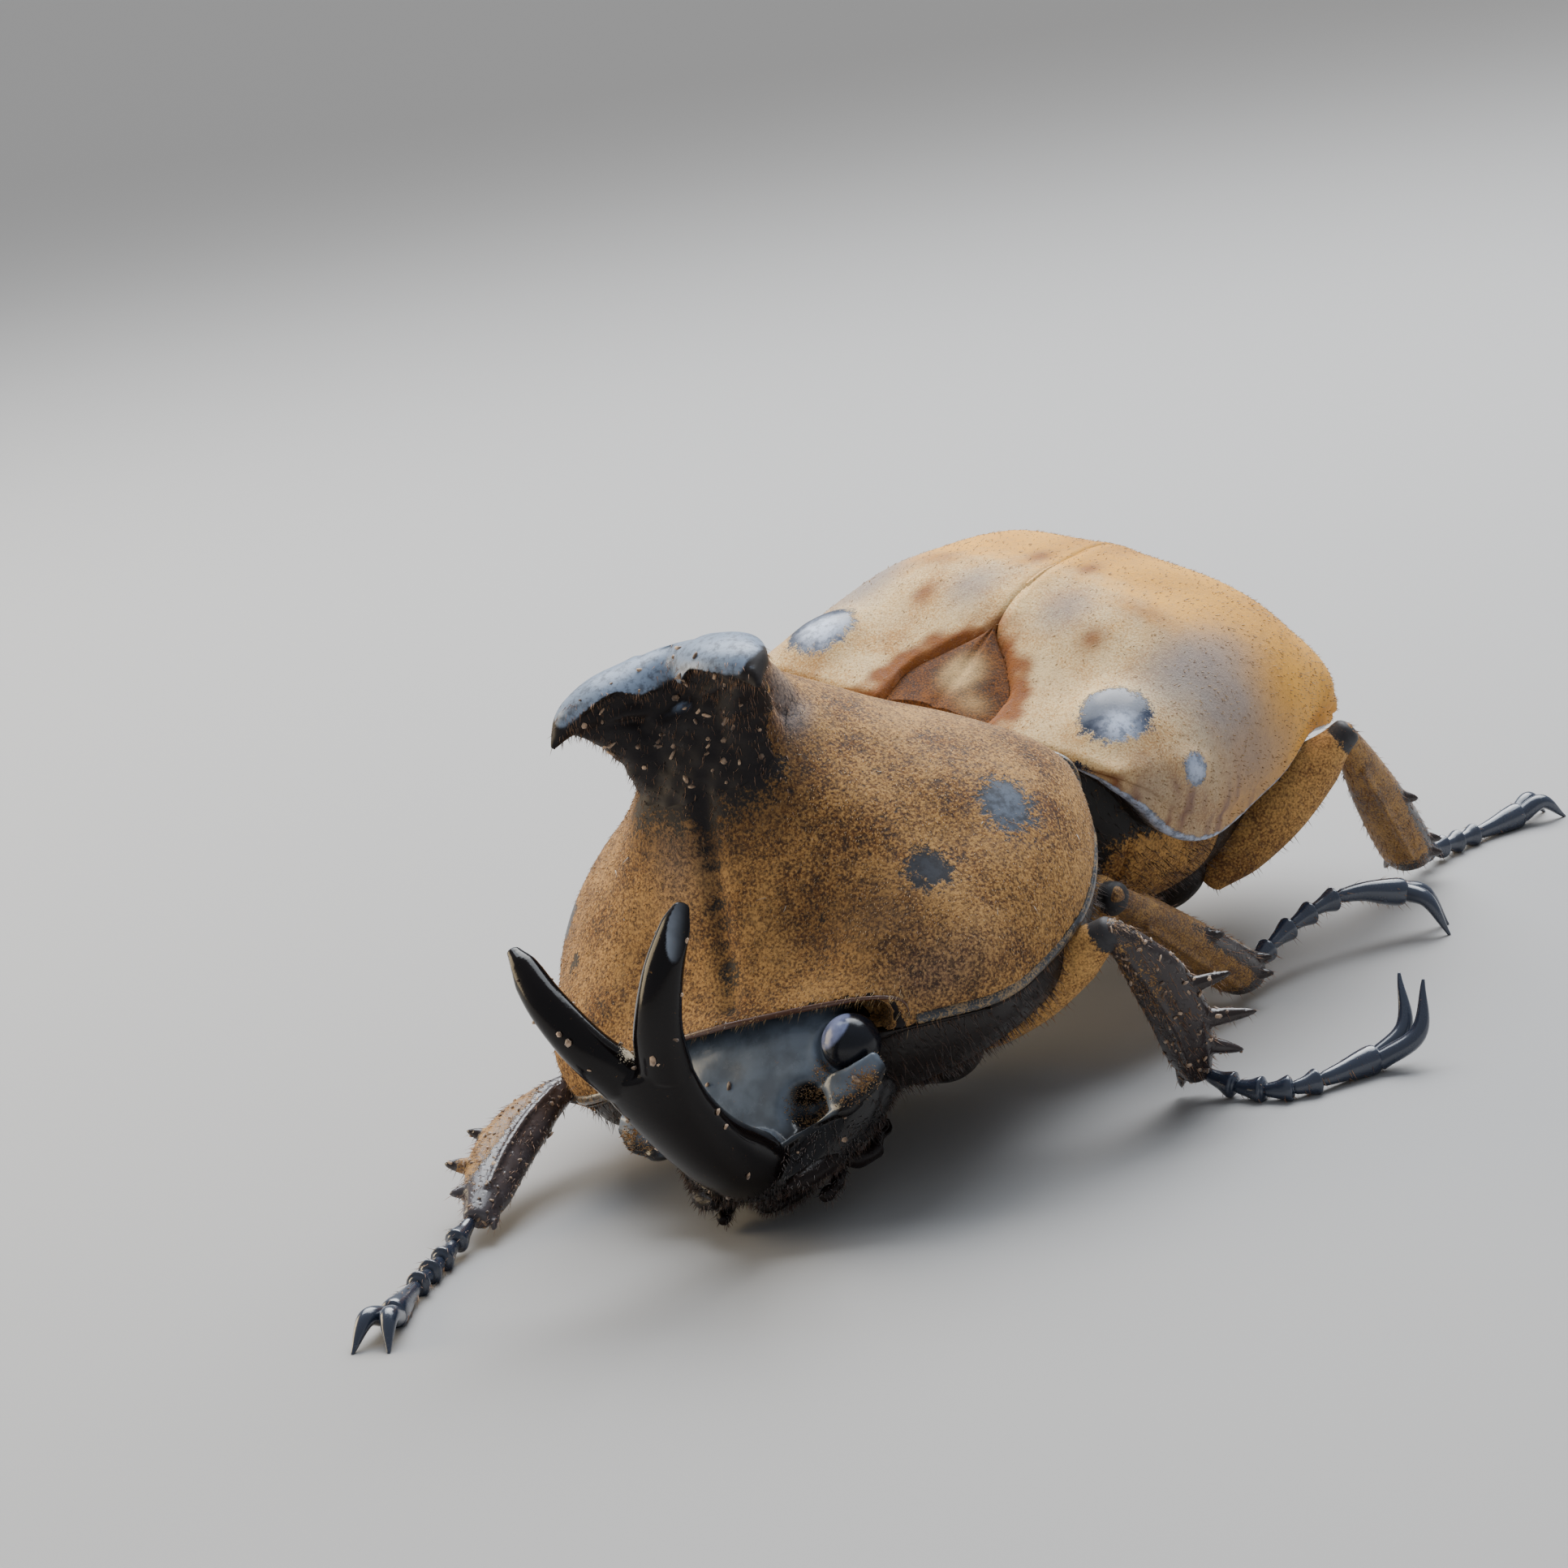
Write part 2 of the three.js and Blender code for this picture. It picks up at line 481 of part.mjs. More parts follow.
// The front tibiae are broad digging blades with three teeth; the others widen to their
// ends, which bear short spines and two spurs.
function tibia(leg) {
  const { knee, ankle, outward, teeth } = leg;
  const axis = vec(ankle).sub(vec(knee)).normalize();
  const out = vec(outward).addScaledVector(axis, -vec(outward).dot(axis)).normalize();
  const side = axis.clone().cross(out);
  const at = (t, o, s = 0) => vec(between(knee, ankle, t)).addScaledVector(out, o)
    .addScaledVector(side, s).toArray();
  const towards = (o, along) => out.clone().multiplyScalar(o).addScaledVector(axis, along).toArray();
  const blade = sizes => limb(sizes.map(([t, o, wide, deep]) => [...at(t, o), wide, deep]),
    { outward, sides: 6, steps: 6 });
  if (teeth) {
    return join(
      blade([[-0.03, 0.1, 0.6, 0.6], [0.15, 0.7, 1.2, 0.8], [0.36, 1.0, 1.7, 0.9],
        [0.62, 0.8, 1.75, 0.9], [0.84, 0.2, 1.35, 0.8], [1, -0.2, 0.75, 0.6]]),
      spine(at(0.48, 2.3), towards(1, 0.1), 1.8, 0.5),
      spine(at(0.69, 1.8), towards(1, 0.35), 2.2, 0.55),
      spine(at(0.83, 0.9), towards(1, 0.9), 1.8, 0.5),
      spine(at(0.93, -0.7), towards(-0.5, 1), 1.3, 0.3));
  }
  return join(
    blade([[-0.03, 0, 0.6, 0.55], [0.2, 0, 1.0, 0.8], [0.55, 0, 1.4, 1.0], [0.9, 0, 1.5, 1.15],
      [1, 0, 1.3, 1.05]]),
    spine(at(0.55, 1.2), towards(1, 0.6), 0.9, 0.3),
    ...[0.4, -0.5].map(s => spine(at(0.95, 1.0, s), towards(1, 0.6), 1.0, 0.3)),
    ...[0.35, -0.35].map(s => spine(at(0.92, -0.8, s), towards(-0.6, 1), 1.6, 0.3)));
}

// Five tarsomeres: four short ones, each widening to its end, and a long last one.
function tarsus(leg) {
  const path = new THREE.CatmullRomCurve3([leg.ankle, ...leg.toes].map(vec), false, 'centripetal');
  const ends = [0.03, 0.2, 0.36, 0.5, 0.64, 1];
  const list = [];
  for (let k = 0; k < 5; k++) {
    const [from, to] = [ends[k], ends[k + 1]];
    for (const [t, size] of [[0.05, 0.38], [0.85, 0.62]]) {
      list.push([...path.getPointAt(lerp(from, to, t)).toArray(), size, size * 0.92]);
    }
  }
  return limb(list, { outward: [0.3, 0.2, 1], sides: 5, steps: list.length - 1 });
}

// A pair of hooked claws on the end of the last tarsomere.
function claws(leg) {
  const root = vec(leg.toes[leg.toes.length - 1]);
  const way = vec(leg.claw).sub(root);
  const side = new THREE.Vector3(0, 0, 1).cross(way).normalize();
  const bulge = leg.raised ? vec([0.8, 0.1, -0.6]) : vec([0, 0, 0.8]);
  const hook = turn => {
    const start = root.clone().addScaledVector(side, turn * 0.2).addScaledVector(way, -0.03);
    const tip = root.clone().add(way).addScaledVector(side, turn * 0.9);
    const middle = start.clone().lerp(tip, 0.5).add(bulge);
    return limb([[...start.toArray(), 0.42, 0.42], [...middle.toArray(), 0.4, 0.36],
      [...tip.toArray(), 0.14, 0.14]], { outward: side.toArray(), sides: 5, steps: 3 });
  };
  return join(hook(1), hook(-1));
}

const floorBlock = () => new THREE.BoxGeometry(200, 200, 20).translate(0, 0, -10);

// ---------------------------------------------------------------- the beetle

const FINISHES = {
  velvet: { color: 0xa5682a, roughness: 0.85 },
  elytra: { color: 0xb98a54, roughness: 0.7 },
  black: { color: 0x14161b, roughness: 0.25 },
  horn: { color: 0x2a303c, roughness: 0.4 },
  underside: { color: 0x1c1512, roughness: 0.6 },
  eye: { color: 0x0c0d10, roughness: 0.1 },
};
const NOWHERE = new THREE.Matrix4();
const beetle = new THREE.Group();

function show(name, geometry, finish, frame = NOWHERE) {
  const mesh = new THREE.Mesh(geometry, new THREE.MeshStandardMaterial(FINISHES[finish]));
  mesh.name = name;
  mesh.applyMatrix4(frame);
  beetle.add(mesh);
}

// A shape of one frame, as seen from another.
const seenFrom = (geometry, own, other) =>
  moved(geometry, other.clone().invert().multiply(own));
const halfSpace = () => new THREE.BoxGeometry(80, 160, 160).translate(-40 + JOINT_GAP / 2, 0, 0);

// Head: its capsule is socketed for the eyes, and carries the forked horn.
const leftEye = eye();
const eyes = [leftEye, reflected(leftEye)];
const capsule = cut(join(headCapsule(), canthus(), reflected(canthus())), ...eyes.map(e => grown(e)));
const headMass = grown(join(headCapsule(), canthus(), reflected(canthus()), ...eyes));
const stem = cut(headHornStem(), headMass);
const leftTine = cut(headHornTine(), grown(headHornStem()), halfSpace());
const mouthCutters = [headMass, grown(headHornStem())];
const leftMandible = cut(mandible(), ...mouthCutters);
const leftMaxilla = cut(maxilla(), ...mouthCutters, grown(mandible()), grown(labium()));
const leftAntenna = cut(antenna(), headMass, grown(maxilla()));
show('head', capsule, 'black', HEAD);
show('head_horn_stem', stem, 'black', HEAD);
show('labium', cut(labium(), ...mouthCutters), 'black', HEAD);
for (const [side, turn] of [['left', g => g], ['right', reflected]]) {
  show(`head_horn_tine_${side}`, turn(leftTine), 'black', HEAD);
  show(`eye_${side}`, turn(leftEye), 'eye', HEAD);
  show(`antenna_${side}`, turn(leftAntenna), 'black', HEAD);
  show(`mandible_${side}`, turn(leftMandible), 'black', HEAD);
  show(`maxilla_${side}`, turn(leftMaxilla), 'black', HEAD);
}

// Prothorax: the pronotum above and the prosternum below, around the back of the head.
const headInFore = seenFrom(headMass, HEAD, FORE);
const antennaInFore = g => seenFrom(grown(g), HEAD, FORE);
const shield = cut(pronotum(), headInFore);
const breast = cut(prosternum(), headInFore, antennaInFore(leftAntenna),
  antennaInFore(reflected(leftAntenna)));
const hornPlate = cut(thoracicHorn(), grown(pronotum()));
const hornTine = cut(thoracicTine(), grown(pronotum()), grown(thoracicHorn()));
show('pronotum', shield, 'velvet', FORE);
show('prosternum', breast, 'underside', FORE);
show('pronotal_horn', hornPlate, 'horn', FORE);
show('pronotal_horn_tine_left', hornTine, 'horn', FORE);
show('pronotal_horn_tine_right', reflected(hornTine), 'horn', FORE);

// Hind body: elytra over the thorax and abdomen, with the scutellum between their bases.
const foreInHind = [pronotum(), prosternum()].map(g => seenFrom(grown(g), FORE, HIND));
const leftElytron = elytron();
const shieldlet = cut(scutellum(), ...foreInHind);
show('scutellum', shieldlet, 'underside', HIND);
show('elytron_left', cut(leftElytron, grown(scutellum()), ...foreInHind), 'elytra', HIND);
show('elytron_right', cut(reflected(leftElytron), grown(scutellum()), ...foreInHind), 'elytra', HIND);
const chest = join(bodyUnderElytra(ELYTRA.front, THORAX_END - JOINT_GAP, 5), waist());
const belly = bodyUnderElytra(THORAX_END, 28.8, 8);
show('thorax', cut(chest, grown(scutellum()), ...foreInHind), 'underside', HIND);
show('abdomen', cut(belly, grown(hindBlock())), 'underside', HIND);
show('pygidium', common(belly, hindBlock()), 'velvet', HIND);

// Legs: every joint is cut to its neighbour nearer the body, and every foot to the floor.
const trunk = [
  ...[pronotum(), prosternum()].map(g => moved(grown(g), FORE)),
  ...[leftElytron, reflected(leftElytron), chest, belly].map(g => moved(grown(g), HIND)),
];
for (const [name, leg] of Object.entries(LEGS)) {
  const hip = cut(coxa(leg), ...trunk);
  const thigh = cut(femur(leg), ...trunk, grown(coxa(leg)));
  const shin = cut(tibia(leg), ...trunk, grown(femur(leg)), floorBlock());
  const foot = cut(tarsus(leg), grown(tibia(leg)), floorBlock());
  const hooks = cut(claws(leg), grown(tarsus(leg)), floorBlock());
  show(`coxa_${name}`, hip, 'underside');
  show(`femur_${name}`, thigh, 'velvet');
  show(`tibia_${name}`, shin, 'black');
  show(`tarsus_${name}`, foot, 'black');
  show(`claw_${name}`, hooks, 'black');
}

// The origin is the middle of the bounding box, on the floor.
const bounds = new THREE.Box3().setFromObject(beetle, true);
const middle = bounds.getCenter(new THREE.Vector3());
for (const part of beetle.children) part.position.add(new THREE.Vector3(-middle.x, -middle.y, 0));

export default beetle;
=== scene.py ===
import math

import bmesh
import bpy
import numpy as np
from mathutils import Matrix, Vector


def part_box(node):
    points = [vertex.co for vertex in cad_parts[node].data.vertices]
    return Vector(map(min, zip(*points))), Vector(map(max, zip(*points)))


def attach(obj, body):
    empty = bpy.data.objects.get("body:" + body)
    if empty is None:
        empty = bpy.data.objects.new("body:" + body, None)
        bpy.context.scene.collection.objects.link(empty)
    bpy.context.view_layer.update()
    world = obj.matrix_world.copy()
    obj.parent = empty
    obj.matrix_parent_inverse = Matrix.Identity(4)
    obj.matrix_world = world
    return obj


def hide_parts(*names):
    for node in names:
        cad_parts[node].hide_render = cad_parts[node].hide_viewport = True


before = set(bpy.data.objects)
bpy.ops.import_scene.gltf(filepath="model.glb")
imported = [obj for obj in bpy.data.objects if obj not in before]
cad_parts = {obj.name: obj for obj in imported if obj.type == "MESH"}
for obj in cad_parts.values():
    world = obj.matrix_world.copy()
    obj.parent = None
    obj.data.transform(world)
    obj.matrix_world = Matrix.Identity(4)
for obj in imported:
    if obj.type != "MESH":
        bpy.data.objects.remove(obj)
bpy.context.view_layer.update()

MM = 0.001
BODY_NAME = "root"
SIDES = ("left", "right")

# ---------------------------------------------------------------- the beetle's frames

# The whole body stands by STANCE; the hind body leans, the forebody turns at the waist and
# the head at the neck. Each frame's model has its own mirror plane at X = 0.
STANCE = dict(pivot=(0, 0, 0), to=(0, 0, 3.03), pitch=-4, roll=6.8, yaw=0)
HIND_LEAN = dict(pivot=(0, 0, 10), to=(0, 0, 10), pitch=0, roll=5, yaw=0)
WAIST = dict(pivot=(0, 0.5, 10), to=(0.34, -1.1, 7.22), pitch=7.15, roll=-20.1, yaw=14.1)
NECK = dict(pivot=(0, -18.5, 8), to=(0.3, -17.9, 8.75), pitch=5, roll=0, yaw=0.8)
EYE_AT = np.array([5.55, -22.1, 8.3])
EYE_RADIUS = 1.4


def placed(pivot, to, pitch, roll, yaw):
    """A turn in degrees about `pivot`, which then lands on `to`."""
    turn = (Matrix.Rotation(math.radians(yaw), 4, "Z")
            @ Matrix.Rotation(math.radians(roll), 4, "Y")
            @ Matrix.Rotation(math.radians(pitch), 4, "X"))
    return np.array(Matrix.Translation(to) @ turn @ Matrix.Translation([-v for v in pivot]))


def within(points, place):
    """Points of one frame, as seen from the frame that carries it."""
    return np.asarray(points, float) @ place[:3, :3].T + place[:3, 3]


body_frame = placed(**STANCE)
hind_frame = body_frame @ placed(**HIND_LEAN)
fore_frame = body_frame @ placed(**WAIST)
head_frame = fore_frame @ placed(**NECK)
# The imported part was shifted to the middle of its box: its left eye says how far. The legs
# are worked out in the frame FLOOR, where Z = 0 is the floor.
eye_low, eye_high = (np.array(corner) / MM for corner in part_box("eye_left"))
packed_shift = (eye_low + eye_high) / 2 - within(EYE_AT, head_frame)
FLOOR = np.eye(4)
FLOOR[:3, 3] = packed_shift
HIND, FORE, HEAD = (FLOOR @ m for m in (hind_frame, fore_frame, head_frame))

# ---------------------------------------------------------------- camera and studio

CAMERA_AT = np.array([134.2, -150.4, 68.2]) + packed_shift
AZIMUTH, ELEVATION, ROLL = (math.radians(a) for a in (43.214, 14.784, -9.838))
LENS, SENSOR_WIDTH = 92.93, 36
LIGHT_AIM = (0, 0, 0.01)    # metres, like all places of lights
FLOOR_REACH = 12


def camera_turn(azimuth, elevation, roll):
    back = np.array([math.sin(azimuth) * math.cos(elevation),
                     -math.cos(azimuth) * math.cos(elevation), math.sin(elevation)])
    level = np.array([math.cos(azimuth), math.sin(azimuth), 0])
    over = np.cross(back, level)
    right = level * math.cos(roll) + over * math.sin(roll)
    up = -level * math.sin(roll) + over * math.cos(roll)
    return Matrix([[right[k], up[k], back[k]] for k in range(3)])


def add_object(name, data):
    thing = bpy.data.objects.new(name, data)
    bpy.context.scene.collection.objects.link(thing)
    return thing


def make_camera():
    data = bpy.data.cameras.new("camera")
    data.lens, data.sensor_width = LENS, SENSOR_WIDTH
    data.clip_start, data.clip_end = 0.01, 50
    camera = add_object("camera", data)
    camera.matrix_world = (Matrix.Translation(Vector(CAMERA_AT * MM))
                           @ camera_turn(AZIMUTH, ELEVATION, ROLL).to_4x4())
    bpy.context.scene.camera = camera


def aim(light, way):
    """Turns a light so that it shines against `way`."""
    light.rotation_euler = Vector(way).to_track_quat("Z", "Y").to_euler()


def soft_light(name, at, size, power, colour):
    data = bpy.data.lights.new(name, "AREA")
    data.shape, data.size, data.size_y = "RECTANGLE", size[0], size[1]
    data.energy, data.color = power, colour
    light = add_object(name, data)
    light.location = at
    aim(light, Vector(at) - Vector(LIGHT_AIM))


def make_studio():
    world = bpy.data.worlds.new("studio")
    world.use_nodes = True
    sky = world.node_tree.nodes["Background"]
    sky.inputs["Color"].default_value = (0.80, 0.86, 0.95, 1)
    sky.inputs["Strength"].default_value = 0.42
    bpy.context.scene.world = world
    sun_data = bpy.data.lights.new("window", "SUN")
    sun_data.energy, sun_data.angle, sun_data.color = 1.5, math.radians(38), (1.0, 0.97, 0.92)
    aim(add_object("window", sun_data), (-0.30, 0.55, 0.80))
    soft_light("overhead", (-0.08, 0.15, 0.27), (0.42, 0.28), 2.2, (0.87, 0.93, 1.0))
    soft_light("warm", (-0.30, -0.12, 0.10), (0.20, 0.20), 0.8, (1.0, 0.80, 0.50))


def make_floor():
    floor = bpy.data.meshes.new("floor")
    corners = [(x * FLOOR_REACH, y * FLOOR_REACH, 0)
               for x, y in ((-1, -1), (1, -1), (1, 1), (-1, 1))]
    floor.from_pydata(corners, [], [(0, 1, 2, 3)])
    ground = add_object("floor", floor)
    paper = bpy.data.materials.new("floor_paper")
    paper.use_nodes = True
    shader = paper.node_tree.nodes["Principled BSDF"]
    shader.inputs["Base Color"].default_value = (0.44, 0.43, 0.42, 1)
    shader.inputs["Roughness"].default_value = 0.9
    shader.inputs["Specular IOR Level"].default_value = 0.2
    floor.materials.append(paper)


make_camera()
make_studio()
make_floor()

# ---------------------------------------------------------------- curves and skins


def course(pairs):
    """A smooth value through a few (place, value) pairs."""
    xs, ys = np.array(pairs, float).T
    count = len(xs)
    low = np.maximum(np.arange(count) - 1, 0)
    high = np.minimum(np.arange(count) + 1, count - 1)
    slope = (ys[high] - ys[low]) / (xs[high] - xs[low])

    def value(place):
        at = np.clip(np.asarray(place, float), xs[0], xs[-1])
        i = np.clip(np.searchsorted(xs, at, side="right") - 1, 0, count - 2)
        step = xs[i + 1] - xs[i]
        t = (at - xs[i]) / step
        return (ys[i] * (1 + 2 * t) * (1 - t) ** 2 + slope[i] * step * t * (1 - t) ** 2
                + ys[i + 1] * t * t * (3 - 2 * t) + slope[i + 1] * step * t * t * (t - 1))
    return value


def lerp(a, b, t):
    return a + (b - a) * t


def smooth_step(low, high, value):
    t = np.clip((value - low) / (high - low), 0, 1)
    return t * t * (3 - 2 * t)


def unit(v):
    v = np.asarray(v, float)
    return v / np.maximum(np.linalg.norm(v, axis=-1, keepdims=True), 1e-12)


def smooth_path(points, t):
    """A centripetal curve through the points, at the places t between 0 and 1."""
    p = np.asarray(points, float)
    p = np.concatenate([[2 * p[0] - p[1]], p, [2 * p[-1] - p[-2]]])
    spans = len(p) - 3
    i = np.minimum((np.asarray(t) * spans).astype(int), spans - 1)
    w = (np.asarray(t) * spans - i)[:, None]
    p0, p1, p2, p3 = p[i], p[i + 1], p[i + 2], p[i + 3]
    d0, d1, d2 = (np.sqrt(np.linalg.norm(b - a, axis=1))[:, None]
                  for a, b in ((p0, p1), (p1, p2), (p2, p3)))
    m1 = ((p1 - p0) / d0 - (p2 - p0) / (d0 + d1) + (p2 - p1) / d1) * d1
    m2 = ((p2 - p1) / d1 - (p3 - p1) / (d1 + d2) + (p3 - p2) / d2) * d1
    return (p1 + m1 * w + (-3 * p1 + 3 * p2 - 2 * m1 - m2) * w ** 2
            + (2 * p1 - 2 * p2 + m1 + m2) * w ** 3)


def volume(points, faces):
    a, b, c, d = (points[faces[:, k]] for k in range(4))
    return (np.einsum("ij,ij->i", a, np.cross(b, c)).sum()
            + np.einsum("ij,ij->i", a, np.cross(c, d)).sum()) / 6


def facing_out(points, faces):
    return (points, faces) if volume(points, faces) > 0 else (points, turned_over(faces))


def turned_over(faces):
    """The same faces, seen from behind. A triangle is kept as a quad whose end repeats."""
    flipped = faces[:, ::-1].copy()
    triangle = faces[:, 2] == faces[:, 3]
    flipped[triangle] = faces[triangle][:, [0, 2, 1, 1]]
    return flipped


def grid_faces(rows, columns):
    i = np.arange(rows - 1)[:, None] * columns
    j = np.arange(columns)[None, :]
    k = (j + 1) % columns
    return np.stack([i + j, i + k, i + columns + k, i + columns + j], -1).reshape(-1, 4)


def skin(rings):
    """A closed skin through rings of equally many points, each end drawn to its middle."""
    rings = np.asarray(rings, float)
    rows, columns = rings.shape[:2]
    points = np.concatenate([rings.reshape(-1, 3), [rings[0].mean(0)], [rings[-1].mean(0)]])
    j = np.arange(columns)
    k = (j + 1) % columns
    last = (rows - 1) * columns
    start, end = np.full(columns, rows * columns), np.full(columns, rows * columns + 1)
    faces = np.concatenate([grid_faces(rows, columns), np.stack([start, k, j, j], -1),
                            np.stack([end, last + j, last + k, last + k], -1)])
    return facing_out(points, faces)


def limb(stations, outward=(1, 0, 0), sides=28, steps=None, ends=(0.6, 0.6), square=1.0):
    """A round limb along a smooth path through [x, y, z, half width, half depth].
    The width lies along `outward`; `ends` says how far each end bulges."""
    table = np.array([list(s) + [s[3]] * (5 - len(s)) for s in stations], float)
    count = len(table)
    steps = steps or 9 * (count - 1)
    places = np.arange(count) / (count - 1)
    width = course(np.stack([places, table[:, 3]], 1))
    depth = course(np.stack([places, table[:, 4]], 1))
    t = np.linspace(0, 1, steps + 1)
    centre = smooth_path(table[:, :3], t)
    ahead = unit(smooth_path(table[:, :3], np.minimum(t + 1e-3, 1))
                 - smooth_path(table[:, :3], np.maximum(t - 1e-3, 0)))
    size = np.stack([width(t), depth(t)], 1)
    cap = np.radians([78, 58, 38, 18])
    first = [(centre[0] - ahead[0] * size[0].min() * ends[0] * math.sin(a), ahead[0],
              size[0] * math.cos(a)) for a in cap]
    final = [(centre[-1] + ahead[-1] * size[-1].min() * ends[1] * math.sin(a), ahead[-1],
              size[-1] * math.cos(a)) for a in cap[::-1]]
    turn = 2 * math.pi * (np.arange(sides) + 0.5) / sides
    side = np.sign(np.cos(turn)) * np.abs(np.cos(turn)) ** square
    rise = np.sign(np.sin(turn)) * np.abs(np.sin(turn)) ** square
    rings = []
    for middle, way, (wide, deep) in first + list(zip(centre, ahead, size)) + final:
        across = unit(np.array(outward, float) - way * np.dot(outward, way))
        up = np.cross(way, across)
        rings.append(middle + wide * side[:, None] * across + deep * rise[:, None] * up)
    return skin(rings)


def ball(centre, radius, rings=40, sides=64):
    polar = np.linspace(0.02, math.pi - 0.02, rings)[:, None]
    turn = np.linspace(0, 2 * math.pi, sides, endpoint=False)[None, :]
    xyz = np.stack([np.sin(polar) * np.cos(turn), np.sin(polar) * np.sin(turn),
                    np.cos(polar) + 0 * turn], -1)
    return skin(np.array(centre) + np.array(radius) * xyz)


def mirrored(form):
    points, faces = form
    return points * (-1, 1, 1), turned_over(faces)


def both_sides(form):
    return [form, mirrored(form)]


def together(*forms):
    points, faces, start = [], [], 0
    for p, f in forms:
        points.append(p)
        faces.append(f + start)
        start += len(p)
    return np.concatenate(points), np.concatenate(faces)


def edges_of(faces):
    pairs = np.concatenate([faces[:, [k, (k + 1) % 4]] for k in range(4)])
    pairs = np.sort(pairs[pairs[:, 0] != pairs[:, 1]], axis=1)
    return np.unique(pairs, axis=0)


def vertex_normals(points, faces):
    a, b, c, d = (points[faces[:, k]] for k in range(4))
    face = np.cross(c - a, d - b)
    triangle = faces[:, 2] == faces[:, 3]
    face[triangle] = np.cross(b - a, c - a)[triangle]
    total = np.zeros_like(points)
    for k in range(3):
        for corner in range(4):
            total[:, k] += np.bincount(faces[:, corner], face[:, k], len(points))
    return unit(total)


SHRINK, REGROW = 0.55, -0.57    # the shares of two smoothing steps that undo each other's pull


def relaxed(form, rounds, strength=None):
    """Smooths a skin without shrinking it; `strength` may say where, from 0 to 1."""
    points, faces = form
    points = points.copy()
    a, b = edges_of(faces).T
    degree = np.bincount(a, minlength=len(points)) + np.bincount(b, minlength=len(points))
    where = np.ones(len(points)) if strength is None else strength(points)
    for step in range(2 * rounds):
        total = np.stack([np.bincount(a, points[b, k], len(points))
                          + np.bincount(b, points[a, k], len(points)) for k in range(3)], 1)
        share = SHRINK if step % 2 == 0 else REGROW
        points += (total / degree[:, None] - points) * (share * where)[:, None]
    return points, faces


def new_mesh(name, form):
    """A mesh of a form: its points, and its faces, where a triangle's end repeats."""
    points, faces = form
    triangle = faces[:, 2] == faces[:, 3]
    sizes = np.where(triangle, 3, 4)
    keep = np.ones(faces.shape, bool)
    keep[triangle, 3] = False
    mesh = bpy.data.meshes.new(name)
    mesh.vertices.add(len(points))
    mesh.vertices.foreach_set("co", np.ascontiguousarray(points, np.float32).ravel())
    mesh.loops.add(int(sizes.sum()))
    mesh.loops.foreach_set("vertex_index", faces[keep].astype(np.int32))
    mesh.polygons.add(len(faces))
    mesh.polygons.foreach_set("loop_start", (np.cumsum(sizes) - sizes).astype(np.int32))
    mesh.update(calc_edges=True)
    mesh.validate()
    return mesh


def flat_points(mesh):
    points = np.zeros(len(mesh.vertices) * 3, np.float32)
    mesh.vertices.foreach_get("co", points)
    return points


def evaluated_mesh(piece):
    """The plain mesh that an object's modifiers make."""
    depsgraph = bpy.context.evaluated_depsgraph_get()
    return bpy.data.meshes.new_from_object(piece.evaluated_get(depsgraph))


def form_of(mesh):
    if all(len(p.vertices) <= 4 for p in mesh.polygons):
        faces = np.array([list(p.vertices) + [p.vertices[-1]] * (4 - len(p.vertices))
                          for p in mesh.polygons])
    else:
        mesh.calc_loop_triangles()
        faces = np.array([[*t.vertices, t.vertices[-1]] for t in mesh.loop_triangles])
    return flat_points(mesh).reshape(-1, 3).astype(float), faces


def fused(forms, voxel, rounds):
    """One closed skin round several that overlap, smoothed where they meet."""
    mesh = new_mesh("fused", together(*forms))
    piece = add_object("fused", mesh)
    remesh = piece.modifiers.new("voxels", "REMESH")
    remesh.mode, remesh.voxel_size, remesh.adaptivity = "VOXEL", voxel, 0
    result = evaluated_mesh(piece)
    form = largest_part(form_of(result))
    for data in (mesh, result):
        bpy.data.meshes.remove(data)
    return relaxed(facing_out(*form), rounds)


def largest_part(form):
    """The biggest connected skin of a form."""
    points, faces = form
    label = np.arange(len(points))
    a, b = edges_of(faces).T
    while True:
        low = np.minimum(label[a], label[b])
        new = label.copy()
        np.minimum.at(new, a, low)
        np.minimum.at(new, b, low)
        new = new[new]
        if (new == label).all():
            break
        label = new
    names, counts = np.unique(label, return_counts=True)
    if len(names) == 1:
        return form
    kept = label == names[counts.argmax()]
    index = np.cumsum(kept) - 1
    return points[kept], index[faces[kept[faces[:, 0]]]]


def clipped(form, point, normal):
    """What lies behind a plane, closed by a flat face."""
    mesh = new_mesh("clipped", form)
    bm = bmesh.new()
    bm.from_mesh(mesh)
    geometry = bm.verts[:] + bm.edges[:] + bm.faces[:]
    cut = bmesh.ops.bisect_plane(bm, geom=geometry, dist=1e-5, plane_co=point, plane_no=normal,
                                 clear_outer=True)["geom_cut"]
    bmesh.ops.triangle_fill(bm, use_beauty=True, normal=normal,
                            edges=[e for e in cut if isinstance(e, bmesh.types.BMEdge)])
    bm.to_mesh(mesh)
    bm.free()
    result = form_of(mesh)
    bpy.data.meshes.remove(mesh)
    return result


def near_line(points, line):
    """Each point's distance from a line of points, and how far along it is, 0 to 1."""
    best = np.full(len(points), 1e9)
    along = np.zeros(len(points))
    line = np.asarray(line, float)
    for i, (a, b) in enumerate(zip(line[:-1], line[1:])):
        t = np.clip((points - a) @ (b - a) / np.dot(b - a, b - a), 0, 1)
        away = np.linalg.norm(points - a - t[:, None] * (b - a), axis=1)
        closer = away < best
        best[closer] = away[closer]
        along[closer] = (i + t[closer]) / (len(line) - 1)
    return best, along


